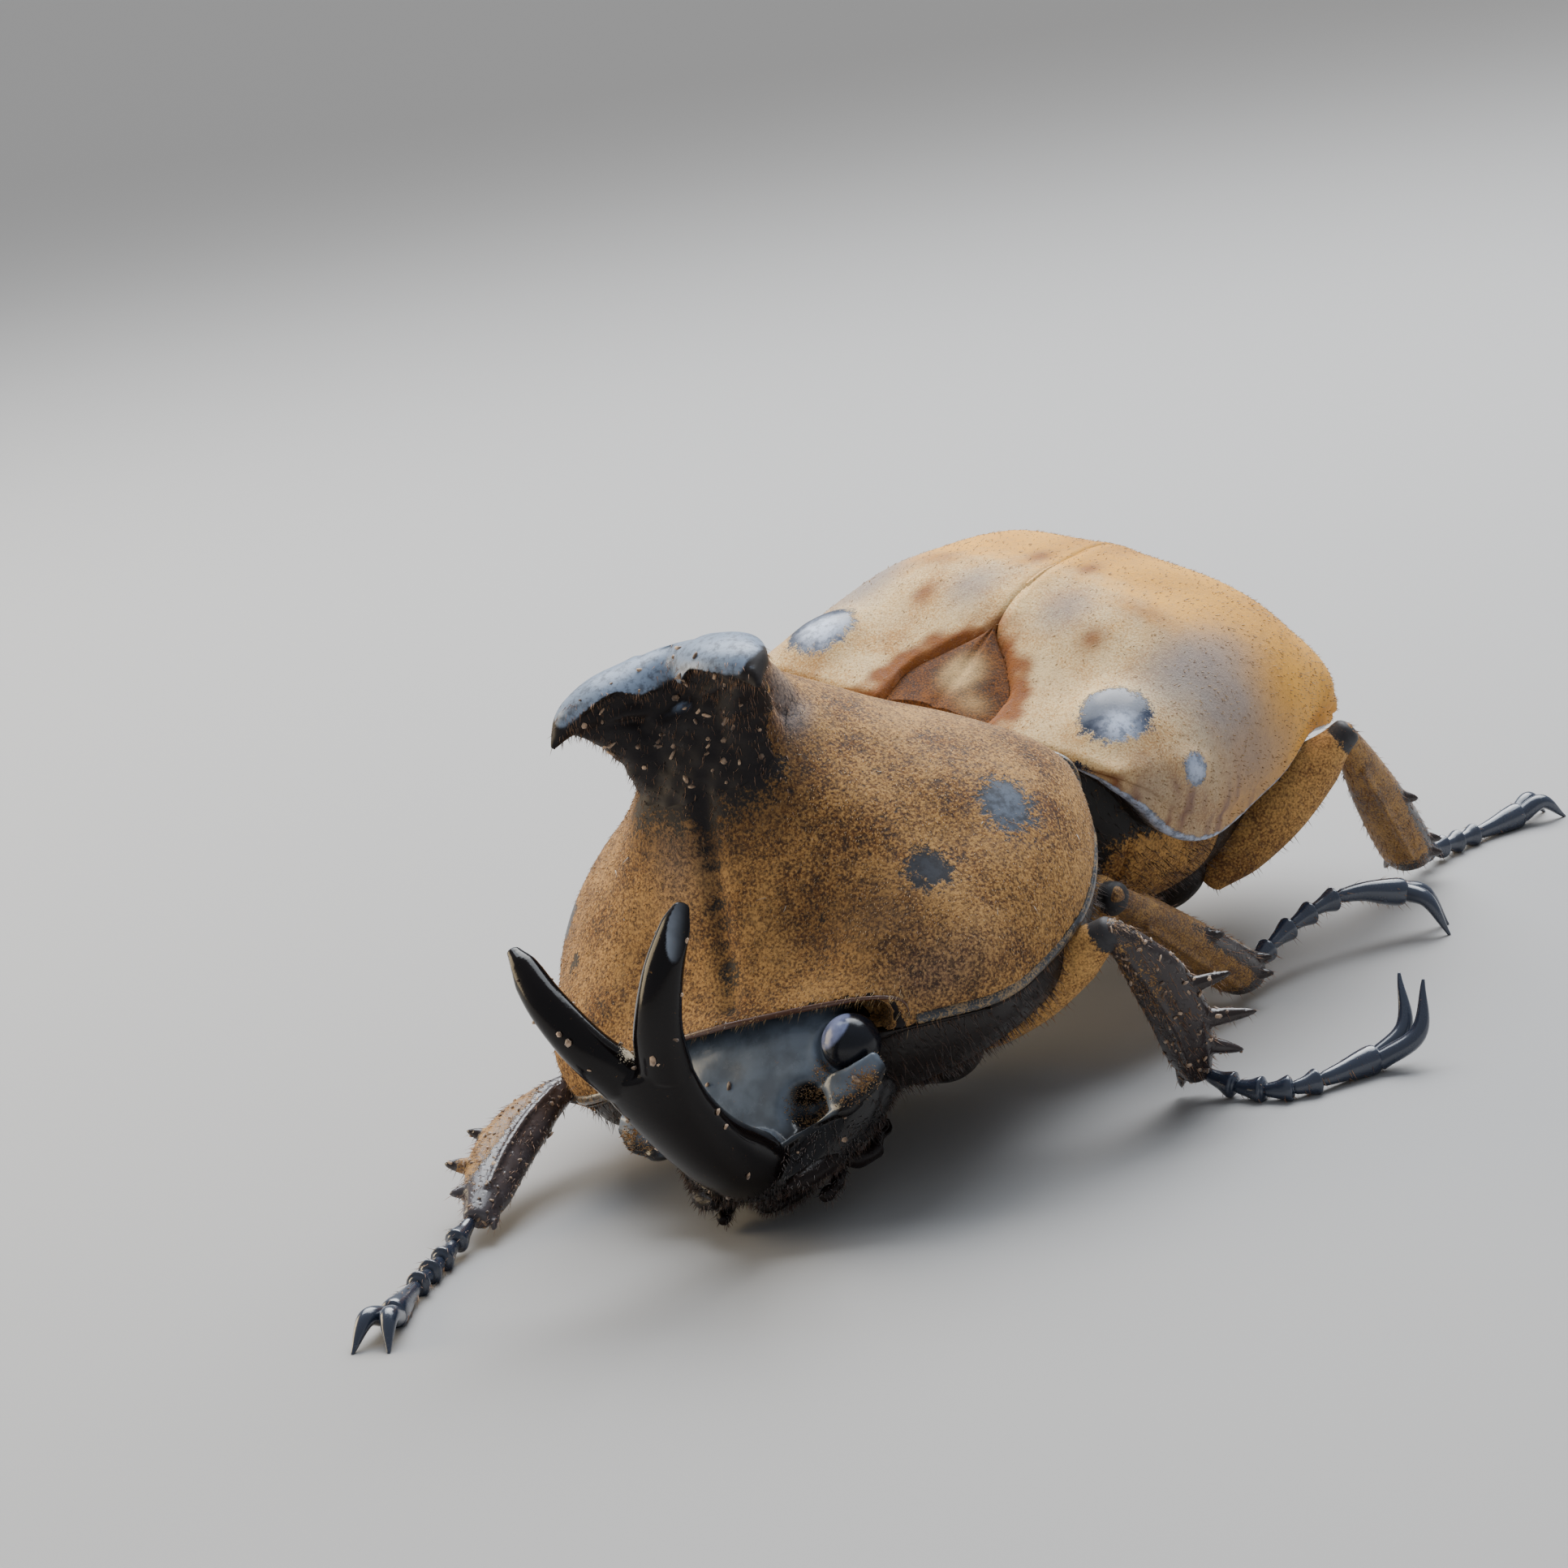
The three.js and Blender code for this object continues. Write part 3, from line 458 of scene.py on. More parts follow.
def spot(points, centre, radius, sharp=2):
    """1 at a place of the skin, falling to 0 at about its radius, which may be one for each
    axis. The higher `sharp` is, the flatter the spot and the harder its edge."""
    reach = np.linalg.norm((points - np.array(centre)) / np.array(radius), axis=1)
    return np.exp(-(reach ** sharp))


def spots(points, table, total=0):
    """The sum of spots, each (share, centre, radius) and perhaps how sharp it is."""
    for share, *rest in table:
        total = total + share * spot(points, *rest)
    return total


pieces, pieces_masks = {}, {}    # what the coats grow on


def make_piece(name, form, place, material, nodes, masks=None, sharp=None):
    """A finished piece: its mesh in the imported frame, its masks (values from 0 to 1 at its
    points, or one for all), and the nodes that it stands for."""
    points, faces = form
    if place is FLOOR:
        points = np.maximum(points, (-np.inf, -np.inf, 0))
    mesh = new_mesh(name, (within(points, place) * MM, faces))
    mesh.polygons.foreach_set("use_smooth", np.ones(len(mesh.polygons), bool))
    if sharp:
        mesh.set_sharp_from_angle(angle=math.radians(sharp))
    for mask, values in (masks or {}).items():
        values = np.ascontiguousarray(np.broadcast_to(values, len(points)), np.float32)
        mesh.attributes.new(mask, "FLOAT", "POINT").data.foreach_set("value", values)
    mesh.materials.append(material)
    piece = add_object(name, mesh)
    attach(piece, BODY_NAME)
    if nodes:
        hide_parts(*nodes)
    pieces[name], pieces_masks[name] = (form, place), masks


# ---------------------------------------------------------------- material tools


class Net:
    """Adds nodes to a tree, and links or sets their inputs."""

    def __init__(self, tree):
        self.tree = tree

    def add(self, kind, inputs=None, **settings):
        node = self.tree.nodes.new(kind)
        for key, value in settings.items():
            setattr(node, key, value)
        for key, value in (inputs or {}).items():
            self.feed(node.inputs[key], value)
        return node

    def feed(self, socket, value):
        """Links a socket, or sets it. A plain colour is given as (red, green, blue)."""
        if isinstance(value, bpy.types.NodeSocket):
            self.tree.links.new(value, socket)
        elif socket.type == "RGBA":
            socket.default_value = (*value, 1)
        else:
            socket.default_value = value

    def math(self, operation, a, b, clamp=False):
        node = self.add("ShaderNodeMath", {0: a, 1: b}, operation=operation, use_clamp=clamp)
        return node.outputs[0]

    def plus(self, a, b):
        return self.math("ADD", a, b)

    def minus(self, a, b, clamp=False):
        return self.math("SUBTRACT", a, b, clamp)

    def times(self, a, b):
        return self.math("MULTIPLY", a, b)

    def larger(self, a, b):
        return self.math("MAXIMUM", a, b)

    def layered(self, base, *layers):
        """A value with others added to it, each as (value, share)."""
        for value, share in layers:
            base = self.plus(base, self.times(value, share))
        return base

    def blend(self, factor, a, b):
        """A colour between a and b."""
        node = self.add("ShaderNodeMix", {0: factor, 6: a, 7: b}, data_type="RGBA")
        return node.outputs[2]

    def between(self, factor, a, b):
        """A value between a and b."""
        return self.add("ShaderNodeMix", {0: factor, 2: a, 3: b}, data_type="FLOAT").outputs[0]

    def step(self, value, low, high, out_low=0.0, out_high=1.0):
        node = self.add("ShaderNodeMapRange", {0: value, 1: low, 2: high, 3: out_low, 4: out_high},
                        interpolation_type="SMOOTHSTEP")
        return node.outputs[0]

    def scale(self, size):
        """The scale of a texture whose features are `size` millimetres across."""
        if isinstance(size, bpy.types.NodeSocket):
            return self.math("DIVIDE", 1.0 / MM, size)
        return 1.0 / (MM * size)

    def noise(self, where, size, detail=3.0, roughness=0.55, distortion=0.0):
        return self.add("ShaderNodeTexNoise", {
            "Vector": where, "Scale": self.scale(size), "Detail": detail,
            "Roughness": roughness, "Distortion": distortion}).outputs[0]

    def cells(self, where, size, feature="F1"):
        return self.add("ShaderNodeTexVoronoi", {"Vector": where, "Scale": self.scale(size)},
                        feature=feature).outputs[0]

    def mask(self, name):
        return self.add("ShaderNodeAttribute", attribute_name=name).outputs["Fac"]

    def place(self):
        return self.add("ShaderNodeTexCoord").outputs["Object"]

    def group(self, tree, **values):
        """A node group's outputs; an underscore in a keyword stands for a space."""
        node = self.add("ShaderNodeGroup", node_tree=tree)
        for key, value in values.items():
            self.feed(node.inputs[key.replace("_", " ")], value)
        return node.outputs


def new_group(name, kind, inputs, outputs):
    """A node group with named sockets, and its input and output nodes."""
    tree = bpy.data.node_groups.new(name, kind)
    for label, value_type, value in inputs:
        socket = tree.interface.new_socket(label, in_out="INPUT",
                                           socket_type="NodeSocket" + value_type)
        if value is not None:
            socket.default_value = value
    for label, value_type in outputs:
        tree.interface.new_socket(label, in_out="OUTPUT", socket_type="NodeSocket" + value_type)
    net = Net(tree)
    return tree, net, net.add("NodeGroupInput").outputs, net.add("NodeGroupOutput").inputs


def pile_group():
    """Short flat pile: where it stands, how light it is, and its height."""
    tree, net, given, out = new_group("velvet_pile", "ShaderNodeTree", [
        ("Position", "Vector", None), ("Pile", "Float", 1.0), ("Hair Size", "Float", 0.11),
        ("Clump Size", "Float", 0.5), ("Speckle", "Float", 0.5), ("Blotch Size", "Float", 3.0),
    ], [("Cover", "Float"), ("Tone", "Float"), ("Height", "Float")])
    where = given["Position"]
    hairs = net.noise(where, given["Hair Size"], 4.0, 0.65)
    clumps = net.noise(where, given["Clump Size"], 4.0, 0.6)
    blotches = net.noise(where, given["Blotch Size"], 3.0, 0.55, 0.4)
    specks = net.step(net.layered(net.times(hairs, 0.55), (clumps, 0.45)), 0.37, 0.60)
    holes = net.times(net.minus(1.0, specks), given["Speckle"])
    holes = net.times(holes, net.step(blotches, 0.32, 0.60, 1.12, 0.70))
    patchy = net.layered(net.times(clumps, 0.5), (hairs, 0.5))
    ragged = net.layered(given["Pile"], (net.minus(patchy, 0.5), 2.2))
    solid = net.step(ragged, 0.30, 0.62)
    tone = net.layered(net.times(hairs, 0.66), (blotches, 0.34))
    net.feed(out["Cover"], net.minus(solid, net.times(holes, solid), clamp=True))
    net.feed(out["Tone"], net.step(tone, 0.38, 0.60))
    net.feed(out["Height"], net.times(solid, net.plus(hairs, clumps)))
    return tree


def grain_group():
    """Cuticle: fine punctures over a slight unevenness."""
    tree, net, given, out = new_group("cuticle_grain", "ShaderNodeTree", [
        ("Position", "Vector", None), ("Pit Size", "Float", 0.25), ("Pits", "Float", 0.5),
        ("Wave Size", "Float", 1.2),
    ], [("Height", "Float"), ("Worn", "Float")])
    where = given["Position"]
    dots = net.step(net.cells(where, given["Pit Size"]), 0.12, 0.42)
    waves = net.noise(where, given["Wave Size"], 3.0)
    fine = net.noise(where, net.times(given["Pit Size"], 0.35), 2.0)
    net.feed(out["Height"], net.layered(net.times(dots, given["Pits"]), (waves, 0.6),
                                        (fine, 0.12)))
    net.feed(out["Worn"], net.step(net.noise(where, given["Wave Size"], 5.0, 0.65), 0.45, 0.65))
    return tree


def dust_group():
    """Dust and crumbs that have settled on the shell."""
    tree, net, given, out = new_group("settled_dust", "ShaderNodeTree", [
        ("Position", "Vector", None), ("Amount", "Float", 0.3), ("Grain Size", "Float", 0.12),
    ], [("Dust", "Float"), ("Height", "Float")])
    where = given["Position"]
    film = net.noise(where, net.times(given["Grain Size"], 9.0), 5.0, 0.65)
    grains = net.noise(where, given["Grain Size"], 3.0, 0.6)
    field = net.layered(net.times(film, 0.5), (grains, 0.5))
    level = net.minus(0.82, net.times(given["Amount"], 0.42))
    dust = net.step(net.minus(field, level), 0.0, 0.07)
    net.feed(out["Dust"], dust)
    net.feed(out["Height"], net.times(dust, grains))
    return tree


velvet_pile, cuticle_grain, settled_dust = pile_group(), grain_group(), dust_group()


def new_net(name):
    """The nodes of a new material, and its Object coordinates."""
    material = bpy.data.materials.new(name)
    material.use_nodes = True
    net = Net(material.node_tree)
    return net, net.place()


def finish_material(name, net, colour, roughness, height, bump, bump_size, **fixed):
    """Ends a material: its shader, its bump, and what is the same all over it."""
    shader = net.tree.nodes["Principled BSDF"]
    normal = net.add("ShaderNodeBump", {"Strength": bump, "Distance": bump_size * MM,
                                        "Height": height}).outputs[0]
    net.feed(shader.inputs["Base Color"], colour)
    net.feed(shader.inputs["Roughness"], roughness)
    net.feed(shader.inputs["Metallic"], 0.0)
    net.feed(shader.inputs["Normal"], normal)
    for key, value in fixed.items():
        net.feed(shader.inputs[key.replace("_", " ")], value)
    return bpy.data.materials[name]


# ---------------------------------------------------------------- materials

# A grey cast for the pile: partly a bloom, partly painted light on velvet that faces away from the
# light or catches it grazing.
BLOOM_AND_LIGHT_GREY = (0.30, 0.275, 0.28)
WARM_SHEEN = (1.0, 0.80, 0.55)
GLOSSY_BARE, MATT_BARE, PILE_ROUGH = (0.2, 0.32), (0.62, 0.30), 0.82    # roughness of bare shell: plain, and under the painted sheen


def velvet_material(name, pile_dark, pile_light, bare, sheen_colour, speckle=0.5, hair=0.11, clump=0.5,
                    stain=(0.16, 0.07, 0.02), glossy=False, gold=None, level=0.5, sheen=0.10):
    """A shell under short velvet pile. Masks: pile, stain, painted_sheen (bare, finely rough shell,
    painted pale as a sky reflection), bloom_and_light (a grey cast on the pile, partly a bloom
    and partly painted light), crumbs (debris caught on it) and, if given, gold."""
    net, where = new_net(name)
    pile = net.group(velvet_pile, Position=where, Pile=net.mask("pile"), Hair_Size=hair,
                     Clump_Size=clump, Speckle=speckle, Blotch_Size=3.0)
    grain = net.group(cuticle_grain, Position=where, Pit_Size=0.22, Pits=0.25, Wave_Size=1.0)
    dust = net.group(settled_dust, Position=where, Amount=net.mask("crumbs"), Grain_Size=0.16)
    streaks = net.noise(where, 0.45, 5.0, 0.7)
    # Pale streaky sheen on bare shell: a painted sky reflection.
    painted_sheen = net.times(net.mask("painted_sheen"), net.step(streaks, 0.36, 0.6, 0.45, 1.15))
    coat = net.blend(pile["Tone"], pile_dark, pile_light)
    if gold:
        coat = net.blend(net.mask("gold"), coat, gold)
    coat = net.blend(net.mask("stain"), coat, stain)
    # The grey cast: partly a bloom, partly painted light.
    coat = net.blend(net.mask("bloom_and_light"), coat, BLOOM_AND_LIGHT_GREY)
    colour = net.blend(pile["Cover"], net.blend(painted_sheen, bare, sheen_colour), coat)
    colour = net.blend(dust["Dust"], colour, (0.50, 0.36, 0.24))
    rough = net.between(painted_sheen, *(GLOSSY_BARE if glossy else MATT_BARE))
    rough = net.between(pile["Cover"], rough, PILE_ROUGH)
    rough = net.larger(rough, net.times(dust["Dust"], 0.9))
    height = net.layered(pile["Height"], (grain["Height"], 0.18), (dust["Height"], 1.2))
    return finish_material(name, net, colour, rough, height, 0.5, 0.09, Sheen_Weight=sheen,
                           Sheen_Roughness=0.4, Sheen_Tint=WARM_SHEEN, IOR=1.5,
                           Specular_IOR_Level=level)


def cuticle_material(name, deep, lifted, rough, dusty, pits=0.4, pit=0.22, bump=0.3, wave=1.2,
                     dust_colour=(0.33, 0.24, 0.15), coat=0.5, level=0.5,
                     fuzz_dark=(0.12, 0.05, 0.013), fuzz_light=(0.34, 0.17, 0.05)):
    """Glossy cuticle. Masks: lift (a paler part: on the head a painted sky reflection, on the
    horn's facets a painted highlight, elsewhere a paler grey), crumbs (dust) and pile
    (gold fuzz).
    """
    net, where = new_net(name)
    grain = net.group(cuticle_grain, Position=where, Pit_Size=pit, Pits=pits, Wave_Size=wave)
    dust = net.group(settled_dust, Position=where, Grain_Size=0.1,
                     Amount=net.plus(net.mask("crumbs"), dusty))
    fuzz = net.group(velvet_pile, Position=where, Pile=net.mask("pile"), Hair_Size=0.10,
                     Clump_Size=0.4, Speckle=0.6, Blotch_Size=2.0)
    mottle = net.noise(where, 1.3, 3.0, 0.5)
    lift = net.times(net.mask("lift"), net.step(mottle, 0.32, 0.68, 0.62, 1.04))
    colour = net.blend(lift, deep, lifted)
    colour = net.blend(fuzz["Cover"], colour, net.blend(fuzz["Tone"], fuzz_dark, fuzz_light))
    colour = net.blend(dust["Dust"], colour, dust_colour)
    matt = net.larger(net.times(dust["Dust"], 0.85), net.times(fuzz["Cover"], 0.8))
    roughness = net.larger(net.between(grain["Worn"], rough, rough * 1.5), matt)
    height = net.layered(grain["Height"], (dust["Height"], 0.8), (fuzz["Height"], 1.2))
    return finish_material(name, net, colour, roughness, height, bump, 0.05, IOR=1.56,
                           Coat_Weight=coat, Coat_Roughness=0.12, Specular_IOR_Level=level)


def hair_material(name, root, tip):
    """A stiff hair or a crumb: darker here and there, after where it stands."""
    net, where = new_net(name)
    tone = net.step(net.noise(where, 0.6, 4.0), 0.35, 0.65)
    fine = net.noise(where, 0.12, 2.0)
    return finish_material(name, net, net.blend(tone, root, tip), net.step(fine, 0, 1, 0.35, 0.55),
                           fine, 0.1, 0.02, Sheen_Weight=0.3, IOR=1.5)


def eye_material():
    """Fine facets in a dark globe. Mask: lift, where a bluish reflection is painted on."""
    net, where = new_net("compound_eye")
    facets = net.cells(where, 0.045, "DISTANCE_TO_EDGE")
    haze = net.noise(where, 0.8, 3.0)
    painted_gleam = net.times(net.mask("lift"), net.step(haze, 0.3, 0.6, 0.5, 1.0))
    colour = net.blend(haze, (0.003, 0.003, 0.004), (0.014, 0.015, 0.022))
    # Painted reflection: a bluish crescent of sky on the globe.
    colour = net.blend(painted_gleam, colour, (0.26, 0.30, 0.50))
    return finish_material("compound_eye", net, colour, net.step(haze, 0.3, 0.7, 0.12, 0.22),
                           net.step(facets, 0.0, 0.1), 0.08, 0.006, IOR=1.5,
                           Specular_IOR_Level=0.35)


# Its pale bluish colour for bare shell is a painted sky reflection, on the horn's top and on the
# bald spots.
pronotum_velvet = velvet_material(
    "pronotum_velvet", (0.180, 0.066, 0.017), (0.60, 0.325, 0.108), (0.016, 0.012, 0.012),
    (0.265, 0.335, 0.45), speckle=0.75, hair=0.14, clump=0.42, stain=(0.060, 0.028, 0.012),
    level=0.3, sheen=0.07)
# The elytra's bare shell is black cuticle tinted dark blue as a painted sky reflection; the pale
# blue-white is the colour of the painted highlights.
elytra_velvet = velvet_material(
    "elytra_velvet", (0.68, 0.34, 0.085), (0.98, 0.73, 0.38), (0.020, 0.032, 0.066),
    (0.66, 0.74, 0.92), speckle=0.22, stain=(0.30, 0.095, 0.012), glossy=True,
    gold=(0.97, 0.46, 0.055), level=0.4, sheen=0.05)
scutellum_velvet = velvet_material(
    "scutellum_velvet", (0.055, 0.016, 0.003), (0.24, 0.080, 0.011), (0.02, 0.014, 0.012),
    (0.1, 0.1, 0.1), speckle=0.4, stain=(0.78, 0.52, 0.24), level=0.3, sheen=0.0)
limb_velvet = velvet_material(
    "limb_velvet", (0.27, 0.105, 0.026), (0.74, 0.40, 0.12), (0.014, 0.012, 0.014),
    (0.20, 0.20, 0.21), hair=0.12, clump=0.4)
flank_velvet = velvet_material(
    "flank_velvet", (0.22, 0.085, 0.020), (0.68, 0.36, 0.10), (0.008, 0.006, 0.005),
    (0.1, 0.1, 0.1), hair=0.14, clump=0.45)
# Its lifted colour is the painted sky reflection on black cuticle.
head_cuticle = cuticle_material(
    "head_cuticle", (0.006, 0.004, 0.004), (0.18, 0.22, 0.275), 0.20, 0.0, pits=0.2, bump=0.16,
    coat=0.08, level=0.3, dust_colour=(0.42, 0.24, 0.09))
# Its lifted colour is the highlight painted on the tines' facets.
horn_cuticle = cuticle_material(
    "horn_cuticle", (0.006, 0.004, 0.004), (0.26, 0.29, 0.34), 0.13, 0.03, pits=0.1, bump=0.10,
    wave=2.0, coat=0.0, level=0.2, dust_colour=(0.5, 0.42, 0.30))
tibia_cuticle = cuticle_material(
    "tibia_cuticle", (0.022, 0.011, 0.008), (0.165, 0.15, 0.165), 0.22, 0.12, pits=0.9, pit=0.34,
    bump=0.5, coat=0.15, level=0.4, dust_colour=(0.30, 0.22, 0.17), fuzz_dark=(0.17, 0.07, 0.02),
    fuzz_light=(0.50, 0.27, 0.08))
# The blue tint on the black tarsi and claws is a painted sky reflection.
tarsus_cuticle = cuticle_material(
    "tarsus_cuticle", (0.026, 0.035, 0.060), (0.05, 0.06, 0.08), 0.22, 0.04, pits=0.2, bump=0.15,
    coat=0.6)
mouth_cuticle = cuticle_material(
    "mouth_cuticle", (0.010, 0.005, 0.004), (0.10, 0.05, 0.03), 0.35, 0.1, pits=0.8, bump=0.5,
    coat=0.0, level=0.2)
# Near black: the underside's own dark colour, darkened further as painted shade.
underside_cuticle = cuticle_material(
    "underside_cuticle", (0.014, 0.009, 0.007), (0.10, 0.08, 0.07), 0.32, 0.1, pits=0.9, pit=0.4,
    bump=0.4, coat=0.0, level=0.3, fuzz_dark=(0.030, 0.012, 0.006),
    fuzz_light=(0.09, 0.038, 0.014))
bead_cuticle = cuticle_material(
    "bead_cuticle", (0.012, 0.012, 0.015), (0.05, 0.058, 0.07), 0.30, 0.40, pits=0.6, pit=0.3,
    bump=0.5, dust_colour=(0.30, 0.20, 0.10))
edge_cuticle = cuticle_material(
    "edge_cuticle", (0.10, 0.035, 0.014), (0.2, 0.1, 0.05), 0.3, 0.1, pits=0.3)
compound_eye = eye_material()
pile_hair = hair_material("pile_hair", (0.24, 0.12, 0.035), (0.52, 0.31, 0.11))
gold_hair = hair_material("gold_hair", (0.42, 0.24, 0.07), (0.72, 0.50, 0.22))
# Near-black hairs: their own dark colour, darkened further as painted shade on the underside.
dark_hair = hair_material("dark_hair", (0.022, 0.010, 0.006), (0.10, 0.042, 0.018))
face_hair = hair_material("face_hair", (0.22, 0.10, 0.03), (0.55, 0.33, 0.12))
copper_hair = hair_material("copper_hair", (0.17, 0.07, 0.025), (0.40, 0.19, 0.075))
fibre_finish = hair_material("fibre_finish", (0.50, 0.46, 0.40), (0.86, 0.84, 0.80))
crumb_finish = hair_material("crumb_finish", (0.10, 0.055, 0.03), (0.62, 0.42, 0.27))

# ---------------------------------------------------------------- shell plates

ELYTRA_FRONT, ELYTRA_WIDEST, ELYTRA_APEX, ELYTRA_THICK, ROUND_END = 0.9, 13, 29.7, 0.9, 24
# half widths and heights at places along Y
elytra_half = course([(0.9, 11.7), (4, 13.1), (8, 13.6), (13, 13.4), (19, 11.8), (24, 9.3),
                      (29.7, 0)])
elytra_crest = course([(0.9, 14.7), (3, 16.0), (5.6, 17.9), (8, 19.5), (11, 20.5), (17, 20.3),
                       (23, 16.4), (27, 12.2), (29.7, 9.9)])
elytra_rim = course([(0.9, 14.0), (2.5, 12.7), (4.5, 10.6), (7, 9.8), (9.8, 10.0), (13, 10.9),
                     (16.8, 11.7), (20, 11.8), (23, 11.2), (26, 10.3), (29.7, 9.5)])
elytra_top = course([(0.9, 0.45), (4, 0.55), (8, 0.78), (11, 0.84)])
scutellum_half = course([(1.2, 3.4), (3.0, 3.3), (4.6, 1.9), (5.8, 0.3)])
SHOULDER_KNOB, SMALL_KNOB = (9.6, 3.6, 16.2), (13.4, 5.4, 13.9)
PYGIDIUM_SLANT = math.radians(-28)
belly_line = course([(0.9, 4.4), (6, 3.0), (12, 2.6), (18, 2.9), (24, 4.4), (29, 7.4)])

PRONOTUM_BASE, PRONOTUM_FRONT = (1.3, -1.2), (-21.6, -20)    # Y of the crest and of the rim
# half widths and heights at shares of the way from the base to the front
pronotum_half = course([(0, 11.6), (0.25, 13.9), (0.5, 14.5), (0.75, 13.4), (0.9, 12.1), (1, 8.6)])
pronotum_rim = course([(0, 11.5), (0.25, 10.3), (0.5, 8.7), (0.75, 7.9), (0.9, 8.0), (1, 8.6)])
pronotum_crest = course([(0, 15.4), (0.2, 19.8), (0.45, 21.0), (0.65, 19.1), (0.8, 16.0),
                         (0.92, 12.5), (1, 11.1)])
pronotum_hill = course([(-22, 0), (-19, 0), (-17, 0.7), (-15.7, 2.4), (-14.6, 4.6), (-13, 5.4),
                        (-10, 4.6), (-6, 2.2), (-2, 0.3), (1, 0)])
HILL_HALF_WIDTH = 5.3
sternum_line = course([(-20, 5.4), (-17, 4.2), (-13, 3.6), (-8, 3.6), (-1, 4.8)])


def section(around, half, crest, rim, side, top, shoulder, rise, tuck):
    """A shell plate's section as (sideways, up): 0 is the crest and 1 the rim. `side` and
    `top` say how boxy it is, `shoulder` where it turns down, and `rise` and `tuck` how far
    the turn stands over the rim and comes in below it."""
    lift = np.minimum(rise, 0.3 * (crest - rim))
    level = rim + lift
    upper = np.clip(around / shoulder, 0, 1) * math.pi / 2
    lower = np.clip((around - shoulder) / (1 - shoulder), 0, 1) * math.pi / 2
    above = around <= shoulder
    x = np.where(above, half * np.sin(upper) ** side,
                 half - np.minimum(tuck, 0.3 * half) * (1 - np.cos(lower)))
    z = np.where(above, level + (crest - level) * np.clip(np.cos(upper), 0, 1) ** top,
                 level - lift * np.sin(lower))
    return x, z


def elytra_point(y, around, inset=0.0):
    """A point of the left elytron: 0 is the suture and 1 the rim; `inset` goes inwards."""
    y, around = np.broadcast_arrays(np.asarray(y, float), np.asarray(around, float))
    shrink = 1 - inset / (ELYTRA_APEX - ELYTRA_WIDEST)
    place = np.where(y > ELYTRA_WIDEST, ELYTRA_WIDEST + (y - ELYTRA_WIDEST) * shrink, y)
    along = np.clip((y - ROUND_END) / (ELYTRA_APEX - ROUND_END), 0, 1)
    half = np.where(y <= ROUND_END, elytra_half(y),
                    elytra_half(ROUND_END) * np.sqrt(1 - along * along))
    half = np.maximum(half - inset, 0.02)
    rim = elytra_rim(y)
    crest = np.maximum(elytra_crest(y) - inset, rim + 0.02)
    x, z = section(around, half, crest, rim, side=0.81, top=elytra_top(y), shoulder=0.84,
                   rise=1.8, tuck=0.9)
    return np.stack([x, place, z], -1)


def stations(low, high, steps):
    """Places along the elytra, closer together where the end rounds off."""
    t = np.linspace(0, 1, steps + 1)
    return lerp(low, high, lerp(t, np.sin(t * math.pi / 2), 0.6))


def elytron():
    """The left elytron, with its shoulder knobs, raised suture and thick rim."""
    rows, columns = 130, 110
    y = stations(ELYTRA_FRONT, ELYTRA_APEX - 0.02, rows)[:, None]
    around = np.linspace(0, 1, columns)[None, :]
    outer = elytra_point(y, around)
    inner = elytra_point(y, around[:, ::-1], ELYTRA_THICK)
    ring = np.concatenate([outer, inner], 1)
    ring[..., 0] += 0.05
    bed = scutellum_half(ring[..., 1]) - ring[..., 0]
    ring[..., 2] -= 0.9 * smooth_step(-0.05, 0.12, bed) * (ring[..., 1] < 6)
    points, faces = skin(ring)
    normals = vertex_normals(points, faces)
    skin_mask = np.zeros((rows + 1, 2 * columns))
    skin_mask[:, :columns] = 1
    outside = np.concatenate([skin_mask.ravel(), [0, 0]])
    reach = np.concatenate([np.broadcast_to(np.concatenate([around[0], around[0, ::-1]]),
                                            skin_mask.shape).ravel(), [0, 0]])
    lift = 0.70 * spot(points, SHOULDER_KNOB, (2.2, 2.3, 2.2), 3)
    lift += 0.32 * spot(points, SMALL_KNOB, (1.0, 1.2, 1.1), 3)
    lift += 0.16 * np.exp(-((points[:, 0] / 0.5) ** 2)) * smooth_step(5.5, 8, points[:, 1])
    lift += 0.22 * smooth_step(0.90, 0.97, reach)
    lift -= 0.14 * np.exp(-(((reach - 0.885) / 0.02) ** 2))
    swell = 0.09 * np.sin(points[:, 1] * 0.9 + 1.3 * np.sin(points[:, 0] * 0.55)) * outside
    return (points + normals * ((lift * outside + swell)[:, None]), faces), outside, reach


